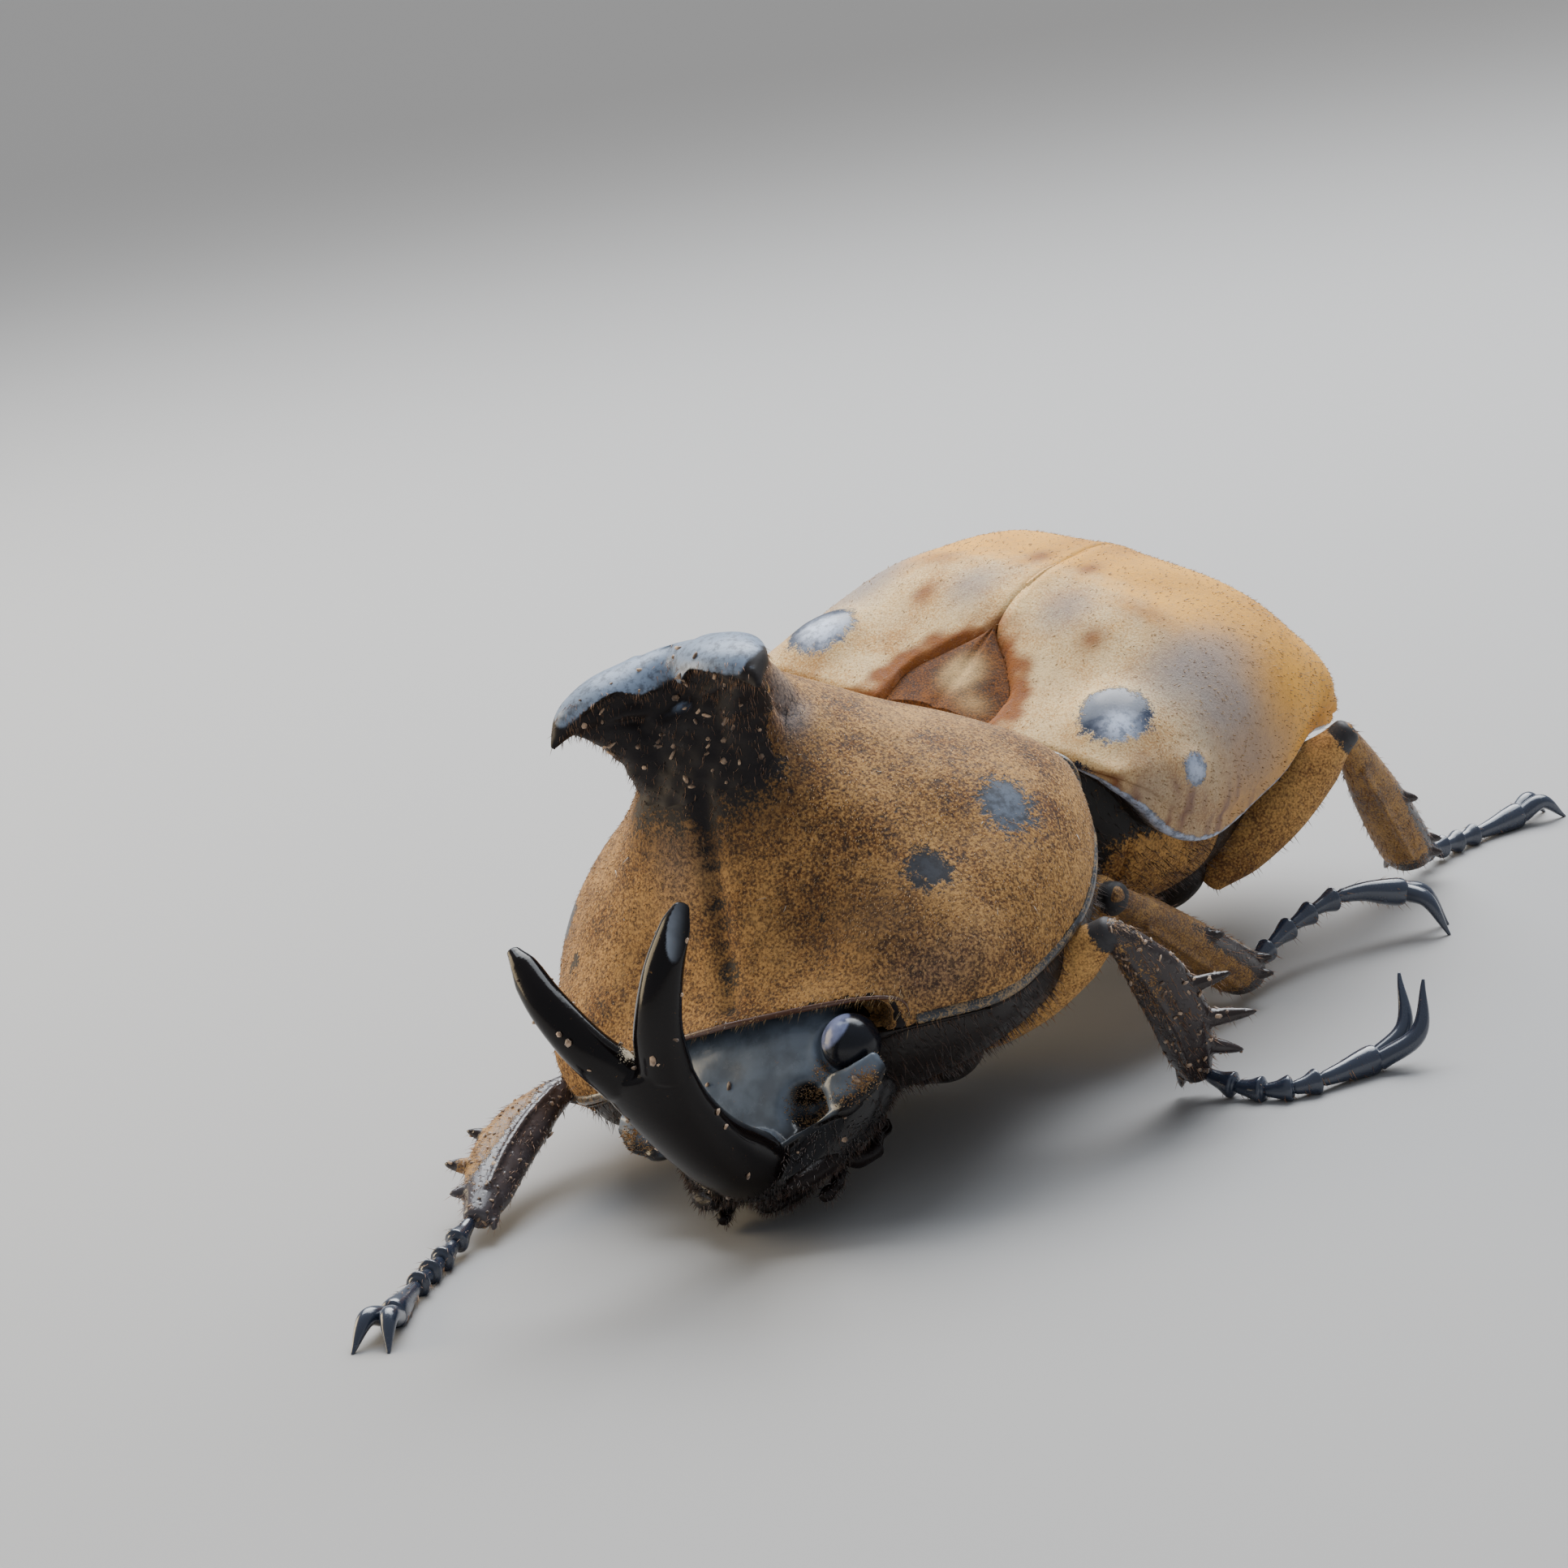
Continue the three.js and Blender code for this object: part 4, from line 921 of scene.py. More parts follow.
def elytron_masks(points, outside, reach, painted_gleam):
    """The last argument gives where a highlight is painted pale on the shoulder knob: (place,
    radius).
    """
    x, y, z = points.T
    knobs = (spot(points, SHOULDER_KNOB, (2.1, 2.15, 2.2), 5)
             + spot(points, SMALL_KNOB, (0.85, 0.9, 1.0), 4))
    stains = spots(points, [
        (0.9, (5.5, 7.0, 18.6), (0.8, 0.8, 1.2)), (0.9, (1.6, 11.8, 20.5), (0.7, 0.9, 1.2)),
        (0.6, (6.4, 9.8, 19.4), (1.4, 1.0, 1.2)), (0.25, (9.0, 16.0, 17.0), (2.4, 3.2, 3.0)),
        (0.25, (5.6, 20.0, 17.0), (3.0, 3.2, 3.0)), (0.45, (11.5, 2.6, 13.5), (1.2, 1.4, 2.0)),
        (0.5, (1.2, 15.5, 20.4), (1.6, 2.4, 1.2))])
    base = scutellum_half(np.clip(y, 1.2, 5.8)) - x
    ragged = 0.6 * np.sin(3.1 * y + 1.7 * x) * np.sin(2.3 * x - 1.2 * y)
    stains += 1.1 * smooth_step(-2.2, -0.5, base + ragged) * smooth_step(7.4, 5.2, y + ragged)
    stains += 0.16 * np.clip(np.sin(0.9 * x + 0.8 * np.sin(0.7 * y)) * np.sin(0.75 * y + 1.0), 0, 1)
    streaks = np.clip(np.sin(4.1 * y + 1.1 * np.sin(z * 1.4)) * np.sin(2.3 * y + 2.0), 0, 1)
    stains += 1.1 * streaks * smooth_step(0.76, 0.86, reach) * smooth_step(13, 9, y)
    gold = (0.95 * smooth_step(9.5, 13.5, y + 0.25 * x + ragged)
            + 0.14 * smooth_step(0.50, 0.75, reach) * smooth_step(12, 8, y)
            + 0.30 * smooth_step(1.5, 0.4, x) * smooth_step(6, 9, y) + 0.03)
    bloom_and_light = spots(points, [
        (0.85, (10.6, 9.4, 17.6), (2.5, 4.2, 2.6), 3),
        (0.75, (12.8, 9.5, 14.6), (1.5, 3.8, 2.6), 3),
        (0.6, (3.0, 8.2, 19.2), (1.4, 2.2, 1.2), 3),
        (0.35, (5.4, 23.5, 14.5), (2.6, 3.0, 3.4), 3),
        (0.50, (12.7, 2.8, 13.2), (1.6, 1.8, 2.2))])
    bloom_and_light += (0.42 * smooth_step(0.70, 0.86, reach) * smooth_step(3.0, 6.0, y)
              * smooth_step(18, 12, y))
    # The bare rim gets a pale lavender painted highlight.
    edge = smooth_step(0.925, 0.955, reach)
    # Painted highlights: pale blue-white on the shoulder knob and on the small knob, standing in
    # for reflections of the sky.
    knob_highlight = spot(points, *painted_gleam, 2.4)
    small_knob_highlight = 0.8 * spot(points, SMALL_KNOB, 0.9)
    return {"pile": np.clip(outside * (1 - knobs) * (1 - 0.85 * edge), 0, 1),
            "stain": np.clip(stains, 0, 1), "gold": np.clip(gold, 0, 1),
            "bloom_and_light": np.clip(bloom_and_light, 0, 0.85), "crumbs": 0.12,
            "painted_sheen": np.clip(edge * 0.9 + knob_highlight + small_knob_highlight, 0, 1)}


def body_under_elytra(low, high, steps, grooves=()):
    """The body below the elytra: their inner face above, the sternites below."""
    inset = ELYTRA_THICK + 0.65
    y = stations(low, high, steps)[:, None]
    left = elytra_point(y, np.linspace(1, 0, 26)[None, :-1], inset)
    right = elytra_point(y, np.linspace(0, 1, 26)[None, :], inset) * (-1, 1, 1)
    rim = elytra_point(y, 1.0, inset)
    turn = (math.pi * np.arange(1, 60) / 60)[None, :]
    depth = np.maximum(rim[..., 2] - belly_line(y), 0.3) * np.sin(turn) ** 0.7
    below = np.stack([-rim[..., 0] * np.cos(turn), rim[..., 1] + 0 * turn, rim[..., 2] - depth], -1)
    points, faces = skin(np.concatenate([left, right, below], 1))
    normals = vertex_normals(points, faces)
    under = smooth_step(10.5, 9.0, points[:, 2]) * smooth_step(0.1, 0.6, -normals[:, 2] + 0.4)
    lift = np.zeros(len(points))
    for groove in grooves:
        back = points[:, 1] - groove - 0.35 * np.cos(points[:, 0] / 5.5)
        lift += np.where(back > 0, -0.32 * np.exp(-back / 0.25), 0.10 * np.exp(back / 0.9))
    return points + normals * (lift * under)[:, None], faces


def scutellum():
    """A small domed shield between the bases of the elytra."""
    rings = []
    for y in np.linspace(1.2, 5.85, 44):
        z, wide = float(elytra_crest(y)), float(scutellum_half(y))
        t = np.linspace(1, -1, 41)
        dome = -0.45 + 0.6 * (1 - t ** 2) - 0.14 * np.exp(-((t / 0.12) ** 2))
        top = np.stack([wide * t, y + 0 * t, z + dome], 1)
        bottom = np.array([[-wide, y, z - 1.5], [0, y, z - 1.6], [wide, y, z - 1.5]])
        rings.append(np.concatenate([top, bottom]))
    return skin(rings)


def pronotum_point(along, around):
    """A point of the pronotum: `along` runs from its base (0) to its front margin (1), and
    `around` from the left rim (-1) over the crest (0) to the right rim (1)."""
    along, around = np.broadcast_arrays(np.asarray(along, float), np.asarray(around, float))
    half, z = section(np.abs(around), pronotum_half(along), pronotum_crest(along),
                      pronotum_rim(along), side=1.45, top=0.8, shoulder=0.82, rise=1.6, tuck=0.5)
    x = -half * np.sign(around)
    side = np.sin(np.minimum(np.abs(around) / 0.82, 1) * math.pi / 2) ** 2
    y = lerp(lerp(PRONOTUM_BASE[0], PRONOTUM_FRONT[0], along),
             lerp(PRONOTUM_BASE[1], PRONOTUM_FRONT[1], along), side)
    hill = pronotum_hill(y) * np.exp(-(np.abs(x / HILL_HALF_WIDTH) ** 2.2))
    return np.stack([x, y, z + hill], -1)


def pleura_line(along, count, drop=0.0):
    """Where the pronotum rests on the prosternum, from the right rim to the left."""
    rim = pronotum_point(along, 1.0)
    crest_y = pronotum_point(along, 0.0)[1]
    turn = math.pi * np.arange(count + 1) / count
    half = abs(rim[0])
    rise = np.where((turn > 0) & (turn < math.pi - 1e-9), -0.35 + np.sin(turn), 0)
    return np.stack([-half * np.cos(turn), lerp(rim[1], crest_y, np.sin(turn)),
                     rim[2] + rise - drop], 1)


def pronotum_block(rows=150, columns=200):
    """The pronotum as a closed block, hollowed a little at its front margin."""
    rings = []
    for along in np.linspace(0, 1, rows):
        top = pronotum_point(along, np.linspace(-1, 1, columns))
        rings.append(np.concatenate([top, pleura_line(along, 40)[1:-1]]))
    front = rings[-1]
    middle = front.mean(0)
    for inward, back in ((0.05, -0.12), (0.10, 0.05), (0.14, 0.6), (0.2, 1.6)):
        rings.append(lerp(front, middle, inward) + (0, back, 0))
    return skin(rings)


def horn_plate():
    return limb([(0, -9.2, 19.5, 4.5, 3.8), (0, -11.0, 22.8, 4.3, 3.0), (0, -12.5, 25.0, 4.3, 2.1),
                 (0, -13.8, 25.9, 4.0, 1.2)], sides=64, steps=40, ends=(0.4, 0.15))


def horn_plate_tine():
    return limb([(1.9, -13.0, 25.9, 2.1, 1.5), (3.8, -14.2, 26.1, 1.9, 1.15),
                 (5.1, -15.2, 25.9, 1.15, 0.8), (5.65, -15.9, 25.45, 0.5, 0.42),
                 (5.95, -16.35, 25.05, 0.12, 0.12)],
                outward=(0.4, 1, 0), sides=40, steps=48)


def horn_crescent():
    """The beam that runs on from tine to tine over the plate."""
    left = [(1.8, -13.1, 26.15, 1.8, 1.15), (3.6, -14.0, 26.0, 1.7, 1.05),
            (5.1, -15.2, 25.7, 0.9, 0.7)]
    right = [(-x, *rest) for x, *rest in left[::-1]]
    return limb([*right, (0, -12.7, 26.2, 1.7, 1.15), *left], outward=(0, 1, 0), sides=48,
                steps=80)


def horn_neck():
    """The stout front of the horn under its lip, and the web that carries a tine."""
    front = limb([(0, -12.6, 25.6, 3.9, 1.6), (0, -12.7, 24.4, 3.7, 1.7),
                  (0, -12.8, 22.8, 3.5, 1.8), (0, -12.9, 21.2, 3.6, 2.0),
                  (0, -12.9, 19.6, 3.9, 2.3)], sides=64, steps=40, square=0.85)
    web = limb([(5.0, -15.0, 25.4, 0.5, 0.5), (4.0, -14.2, 24.6, 1.1, 0.9),
                (3.0, -13.5, 23.2, 1.4, 1.3), (2.8, -13.1, 21.6, 1.45, 1.6)],
               sides=40, steps=40)
    return [front, *both_sides(web)]


# The shell and the horn are cut apart at this slanting plane of the prothorax.
HORN_FOOT = np.array([0, -13.2, 21.6])
HORN_RISE = unit([0, -0.5, 0.866])
MEDIAN_GROOVE = [(0.2, -15.0, 21.2), (-0.15, -16.2, 18.9), (-0.35, -17.4, 16.1),
                 (-0.2, -19.2, 13.4), (0, -20.6, 11.8)]
FLANK_SPOT, FRONT_SPOT = (12.8, -11.2, 15.0), (10.1, -15.7, 14.2)    # bald spots of the velvet
FAR_SPOT = (-12.6, -11.5, 15.2)
# The lip's height and its front edge, from the middle outwards.
HORN_LIP = course([(0, 25.9), (1.1, 25.85), (1.6, 26.2), (2.1, 26.5), (2.8, 26.45), (4.3, 26.0),
                   (5.2, 25.9), (5.7, 26.4)])
HORN_EDGE = course([(0, -14.1), (0.9, -14.5), (1.8, -15.0), (3.6, -15.7), (5.1, -16.1)])


def pronotum_relief(form):
    """The groove down the front face, the hollows beside it, and small dents."""
    points, faces = form
    normals = vertex_normals(points, faces)
    away, along = near_line(points, MEDIAN_GROOVE)
    lift = -0.34 * np.exp(-((away / 0.6) ** 2)) * smooth_step(0, 0.15, along + 0.05)
    for side in (-1, 1):
        lift -= 0.35 * spot(points, (side * 4.6, -18.2, 13.8), (2.2, 1.6, 2.4))
        lift += 0.30 * spot(points, (side * 7.6, -18.2, 12.0), (2.2, 1.4, 1.8))
        lift -= 0.22 * spot(points, (side * 11.3, -13.4, 14.4), (1.8, 2.0, 1.8))
    lift += 0.04 * np.sin(points[:, 0] * 1.1) * np.sin(points[:, 1] * 1.3 + 1)
    top = smooth_step(-0.2, 0.3, normals[:, 2] - 0.6 * normals[:, 1])
    return points + normals * (lift * top)[:, None], faces


def pronotum_masks(points, normals):
    """Where the prothorax is velvet, bare, worn, stained and dusty; where a pale sky reflection is
    painted on its bare shell; and where it is greyed, partly as painted light.
    """
    x, y, z = points.T
    rise = (points - HORN_FOOT) @ HORN_RISE
    ahead = smooth_step(-9.5, -12.5, y) * smooth_step(0.2, -0.3, normals[:, 1])
    horn = smooth_step(-0.9 - 1.5 * ahead, 0.9, rise + 0.2 * np.sin(x * 1.7) * np.cos(y * 1.1))
    flank = smooth_step(0.45, 0.8, np.abs(normals[:, 0])) + smooth_step(-0.1, 0.3, normals[:, 1])
    cheek = np.clip(flank, 0, 1) * smooth_step(25.4, 24.3, z) * smooth_step(-14.4, -13.6, y)
    horn = horn * (1 - cheek)
    away, along = near_line(points, MEDIAN_GROOVE)
    wander = 1 + 0.3 * np.sin(z * 2.3) * np.sin(z * 5.1 + 1)
    groove = np.exp(-((away / (0.58 * wander)) ** 2.4)) * smooth_step(0, 0.1, along + 0.03)
    fade = ahead * smooth_step(-2.8, -0.8, rise) * smooth_step(6.5, 4.0, np.abs(x))
    brown = spots(points, [(0.62, (7.7, -17.9, 13.3), (2.4, 1.8, 2.2)),
                           (0.28, (4.6, -18.0, 13.6), (1.8, 1.6, 2.6)),
                           (0.22, (-5.0, -18.0, 13.8), (1.4, 1.6, 2.6))])
    worn = spots(points, [
        (0.95, FLANK_SPOT, (1.4, 1.8, 2.8), 2.4), (0.95, FRONT_SPOT, (1.5, 1.3, 1.6), 2.4),
        (0.30, (7.35, -12.5, 18.7), (1.5, 1.6, 1.2), 3),
        (0.34, (8.7, -14.0, 17.0), (1.2, 1.3, 1.1), 3),
        (0.5, (4.95, -17.96, 13.95), (0.45, 0.7, 0.9), 3),
        (0.5, (-0.1, -19.6, 12.9), (0.9, 0.8, 0.8), 3),
        (0.9, FAR_SPOT, (1.2, 1.4, 1.7), 3),
        (0.8, (-10.6, -15.2, 13.6), (0.7, 0.7, 1.3), 3),
        (0.45, (-7.0, -9.0, 19.2), (1.4, 1.2, 1.2), 3),
        (0.25, (6.4, -4.6, 18.6), (1.6, 1.0, 1.4), 3)])
    outer = smooth_step(0.0, 0.3, normals[:, 2] - 0.3 * normals[:, 1] + 0.5)
    pile = np.clip((1 - horn) * (1 - np.clip(worn, 0, 1)) * (1 - 0.74 * groove) * outer, 0, 1)
    # Painted sky reflection: pale on the horn's upward faces and on its lip.
    up = normals[:, 2] + 0.25 * normals[:, 1]
    lip = smooth_step(-0.12, 0.12, z - HORN_LIP(np.abs(x)))
    painted_sheen = smooth_step(0.2, 1.6, rise) * np.maximum(smooth_step(0.5, 0.75, up), lip)
    painted_sheen = painted_sheen * smooth_step(-0.6, -0.2, up) * smooth_step(-0.3, 0.2, z - 24.6)
    # A paler painted reflection on the bald spots, too.
    painted_sheen = painted_sheen + spots(points, [(0.42, FLANK_SPOT, (1.3, 1.7, 2.6)),
                                   (0.10, FRONT_SPOT, (1.4, 1.1, 1.4)),
                                   (0.4, FAR_SPOT, (1.2, 1.4, 1.7))])
    # the hollow of the front margin, behind the head, has no pile
    wall = ((normals[:, 1] < -0.85) & (y < -19.2) & (np.abs(x) < 8.2)
            & (((z < 11.6) & (np.abs(x) < 7.4)) | (z < 9.8)))
    pile = np.where(wall, 0, pile)
    # A grey cast on the velvet beside the horn's foot.
    halo = sum(spot(points, (side * 4.3, -11.7, 23.0), (0.9, 1.5, 2.0), 3) for side in (1, -1))
    # Painted light: greyer, paler velvet on two patches that face away from the light.
    haze = spots(points, [(0.20, (-2.4, -16.4, 17.4), (1.6, 1.6, 2.6)),
                          (0.20, (10.4, -18.9, 10.2), (3.0, 2.4, 1.6))])
    # The velvet greys towards the base as a painted sheen of grazing light.
    return {"pile": pile, "painted_sheen": np.clip(painted_sheen, 0, 1),
            "stain": np.clip(0.85 * groove + 0.62 * fade + brown, 0, 0.95),
            "crumbs": np.clip(0.02 + 0.12 * horn * (1 - np.clip(painted_sheen, 0, 1))
                              * smooth_step(20.5, 22.5, z), 0, 1),
            "bloom_and_light": np.clip(0.25 * smooth_step(-7, 1, y) + 0.65 * halo + haze, 0, 0.7)}


def make_prothorax():
    """The shell and the horn, cut apart from two skins of different fineness."""
    plate, tines = horn_plate(), [horn_crescent(), *horn_neck(), *both_sides(horn_plate_tine())]
    shell = pronotum_relief(fused([pronotum_block(), plate, *tines], 0.2, 6))
    shell = clipped(shell, HORN_FOOT, HORN_RISE)
    make_piece("pronotum_shell", shell, FORE, pronotum_velvet, ["pronotum"],
               pronotum_masks(shell[0], vertex_normals(*shell)), sharp=50)
    chunk = clipped(pronotum_block(), HORN_FOOT - 1.4 * HORN_RISE, -HORN_RISE)
    horn = fused([chunk, plate, *tines], 0.11, 8)
    horn = shaped_pronotal_horn(pronotum_relief(horn))
    horn = clipped(horn, HORN_FOOT, -HORN_RISE)
    make_piece("pronotal_horn_shell", horn, FORE, pronotum_velvet,
               ["pronotal_horn", "pronotal_horn_tine_left", "pronotal_horn_tine_right"],
               pronotum_masks(horn[0], vertex_normals(*horn)), sharp=50)
    make_pronotum_margins()
    make_piece("prosternum_plate", prosternum(), FORE, underside_cuticle, ["prosternum"],
               {"pile": 0.12})


def make_pronotum_margins():
    """The bead along the sides and the base, and the thin front edge."""
    bead = []
    for side in (-1, 1):
        line = pronotum_point(np.linspace(0.02, 0.985, 70), side * 0.985)
        bead.append(limb([(*p, 0.26, 0.3) for p in line + (0, 0, 0.05)], outward=(side, 0, 0),
                         sides=12, steps=240))
    line = pronotum_point(0, np.linspace(-0.98, 0.98, 41))
    bead.append(limb([(*p, 0.24, 0.24) for p in line], outward=(0, 1, 0), sides=12, steps=200))
    make_piece("pronotum_bead", together(*bead), FORE, bead_cuticle, [],
               {"lift": 0.4, "crumbs": 0.4})
    line = pronotum_point(1, np.linspace(-0.9, 0.9, 81))
    thin = np.sqrt(np.clip(np.cos(np.linspace(-1, 1, 81) * math.pi / 2), 0.02, 1))
    edge = limb([(*p, 0.12 * k, 0.16 * k) for p, k in zip(line + (0, -0.03, -0.02), thin)],
                outward=(0, 1, 0), sides=10, steps=240)
    make_piece("pronotum_front_edge", edge, FORE, edge_cuticle, [])


def prosternum():
    """The breast plate under the pronotum."""
    rings = []
    for along in np.linspace(1 / 13, 1, 90):
        upper = pleura_line(along, 40, 0.1)
        rim = pronotum_point(along, 1.0)
        turn = math.pi * np.arange(1, 60) / 60
        drop = min(rim[2] - float(sternum_line(rim[1])), 7) * np.sin(turn) ** 0.8
        lower = np.stack([abs(rim[0]) * 0.97 * np.cos(turn), rim[1] + 0 * turn,
                          rim[2] - 0.1 - drop], 1)
        rings.append(np.concatenate([upper, lower]))
    return skin(rings)


def shaped_pronotal_horn(form):
    """Smooths the horn's face, notches its edge in the middle and undercuts its lip."""
    points, faces = relaxed(form, 30, lambda p: smooth_step(25.3, 24.3, p[:, 2])
                            * smooth_step(-11.0, -12.5, p[:, 1]))
    normals = vertex_normals(points, faces)
    aside = np.abs(points[:, 0])
    ahead = smooth_step(-12.4, -13.4, points[:, 1])
    notch = np.exp(-((aside / 0.9) ** 2)) * smooth_step(24.4, 25.2, points[:, 2]) * ahead
    points[:, 1] += 0.7 * notch
    below = HORN_LIP(aside) - points[:, 2]
    face = HORN_EDGE(aside) + 0.45 + 0.2 * np.clip(below, 0, 2)
    under = smooth_step(-0.05, 0.12, below) * smooth_step(1.8, 0.8, below)
    points[:, 1] += np.maximum(face - points[:, 1], 0) * under * smooth_step(4.4, 3.4, aside)
    front = smooth_step(-0.2, -0.6, normals[:, 1]) * smooth_step(0.2, 0.6, below)
    lumps = (np.sin(points[:, 0] * 3.1 + 2 * points[:, 2]) * np.sin(points[:, 2] * 3.7 + 1.0)
             * np.sin(points[:, 0] * 1.3 - 1.7 * points[:, 2]))
    return points + normals * (0.10 * front * lumps)[:, None], faces


def make_hind_body():
    """Elytra, scutellum, thorax with the waist, abdomen and pygidium."""
    form, outside, reach = elytron()
    # Each shoulder knob's painted highlight: its place and radius.
    make_piece("elytron_shell_left", form, HIND, elytra_velvet, ["elytron_left"],
               elytron_masks(form[0], outside, reach, ((10.4, 2.9, 15.9), 0.95)))
    make_piece("elytron_shell_right", mirrored(form), HIND, elytra_velvet, ["elytron_right"],
               elytron_masks(form[0], outside, reach, ((9.2, 3.0, 16.5), 1.3)))
    shield = scutellum()
    stain = spots(shield[0], [(0.95, (0.1, 3.3, 16.3), (1.15, 1.25, 1.2), 3),
                              (0.6, (1.9, 1.9, 15.7), (1.0, 0.6, 0.8))])
    make_piece("scutellum_shield", shield, HIND, scutellum_velvet, ["scutellum"],
               {"pile": 1, "stain": np.clip(stain, 0, 1), "crumbs": 0.3}, sharp=50)
    waist = limb([(0, 3.5, 8.8, 8.4, 4.3), (0, 0.6, 8.8, 8.4, 4.3), (0, -2.6, 8.4, 7.4, 3.6)],
                 sides=60, steps=30, ends=(0.1, 0.1))
    chest = together(body_under_elytra(ELYTRA_FRONT, 11.9, 90, (4.2, 8.4)), waist)
    y, z = chest[0].T[1:]
    # Velvet panel on the flank; above it, the strip under the elytral rim stays dark as painted
    # shadow.
    panel = smooth_step(10.2, 9.2, z) * smooth_step(2.4, 4.4, y) * smooth_step(3.0, 4.4, z)
    make_piece("thorax_trunk", chest, HIND, flank_velvet, ["thorax"],
               {"pile": 0.12 + 0.85 * panel}, sharp=60)
    belly = body_under_elytra(12, 28.8, 150, (13.8, 15.8, 17.8, 19.8, 22.0, 24.4))
    slant = unit([0, math.cos(PYGIDIUM_SLANT), math.sin(PYGIDIUM_SLANT)])
    hinge = np.array([0, 26.4, 9.0])
    front, tail = clipped(belly, hinge - 0.05 * slant, slant), clipped(belly, hinge, -slant)
    # Pile thins out towards the elytral rim, so the side under the rim is dark: partly the
    # sternites' own colour, partly painted shade.
    make_piece("abdomen_trunk", front, HIND, underside_cuticle, ["abdomen"],
               {"pile": 0.30 * smooth_step(9.5, 5, front[0][:, 2])}, sharp=60)
    make_piece("pygidium_plate", tail, HIND, limb_velvet, ["pygidium"],
               {"pile": 0.8}, sharp=60)


# ---------------------------------------------------------------- head

head_half = course([(-27, 1.6), (-26, 3.2), (-24.4, 4.6), (-22.5, 5.5), (-20, 5.8), (-17.5, 5.2)])
head_top = course([(-27, 4.9), (-26, 5.3), (-24.6, 6.6), (-23, 8.4), (-21, 9.9), (-19, 10.4),
                   (-17.5, 10.2)])
head_bottom = course([(-27, 4.1), (-26, 3.6), (-24, 3.0), (-20, 2.9), (-17.5, 3.4)])
HORN_ROOT = np.array([0, -26.3, 5.6])
HORN_WAY = unit([0, -0.75, 0.66])
EYES = [EYE_AT, EYE_AT * (-1, 1, 1)]
CANTHUS_RIDGE = [(4.2, -24.2, 7.1), (5.6, -24.2, 7.4), (6.9, -23.5, 7.9)]


def head_capsule():
    """The head without its horn, plates and eyes."""
    turn = 2 * math.pi * (np.arange(96) + 0.5) / 96
    side = np.sign(np.cos(turn)) * np.abs(np.cos(turn)) ** 0.75
    rise = np.sign(np.sin(turn)) * np.abs(np.sin(turn)) ** 0.7
    rings = []
    for y in np.linspace(-27, -17.5, 70):
        bottom, top = float(head_bottom(y)), float(head_top(y))
        level = (bottom + top) / 2
        rings.append(np.stack([head_half(y) * side, y + 0 * turn, level + (top - level) * rise], 1))
    return skin(rings)


def canthus():
    """The flat plate that runs out under the eye, and the small lobe at its foot."""
    plate = limb([(4.0, -24.0, 6.75, 0.6, 0.3), (5.1, -24.15, 6.95, 0.95, 0.27),
                  (6.3, -23.95, 7.25, 0.9, 0.25), (7.2, -23.3, 7.6, 0.5, 0.22)],
                 outward=(0, 0.55, 0.83), sides=36, square=0.7)
    lobe = limb([(4.4, -24.5, 6.2, 0.35, 0.3), (5.3, -24.6, 6.3, 0.42, 0.35),
                 (5.9, -24.3, 6.4, 0.3, 0.3)], outward=(0, 1, 0), sides=20)
    return [plate, lobe]


def clypeal_ridge():
    return limb([(0.6, -26.9, 5.9, 0.2, 0.2), (1.95, -25.9, 5.75, 0.2, 0.22),
                 (3.15, -24.95, 5.95, 0.19, 0.22), (4.3, -24.75, 6.2, 0.2, 0.24),
                 (4.98, -24.69, 6.32, 0.27, 0.27)], outward=(0, 1, 0), sides=16)


def horn_stem():
    return limb([(0, -23.4, 4.4, 2.6, 1.6), (0, -25.6, 5.0, 2.3, 1.7), (0, -27.9, 7.4, 2.0, 1.5),
                 (0, -29.6, 10.6, 2.1, 1.25), (0, -30.3, 13.2, 2.5, 1.05)], sides=56, steps=60,
                ends=(0.3, 0.3))


def horn_tine():
    return limb([(1.1, -30.2, 12.9, 1.35, 1.05), (2.0, -30.5, 15.0, 1.15, 0.95),
                 (3.2, -29.9, 17.3, 0.95, 0.85), (4.2, -28.8, 18.9, 0.7, 0.65),
                 (4.6, -28.35, 19.45, 0.40, 0.40)], sides=40, steps=60, ends=(0.6, 0.7))


def head_relief(form):
    """The dished frons, the pits before the eyes and the grooves round them."""
    points, faces = form
    normals = vertex_normals(points, faces)
    lift = np.zeros(len(points))
    for side, eye in zip((1, -1), EYES):
        lift -= 1.15 * spot(points, (side * 3.1, -24.2, 6.7), (0.92, 0.85, 0.85), 2.4)
        lift += 0.14 * spot(points, (side * 2.8, -23.3, 7.6), (1.3, 1.0, 0.9))
        away = np.linalg.norm(points - eye, axis=1)
        lift -= 0.16 * np.exp(-(((away - EYE_RADIUS - 0.14) / 0.16) ** 2))
        lift += 0.08 * np.exp(-(((away - EYE_RADIUS - 0.50) / 0.22) ** 2))
    lift += 0.03 * np.sin(points[:, 0] * 2.1 + 0.5) * np.sin(points[:, 1] * 2.4)
    upper = smooth_step(4.6, 5.6, points[:, 2]) * smooth_step(-30.5, -26.5, points[:, 1])
    return points + normals * (lift * upper)[:, None], faces


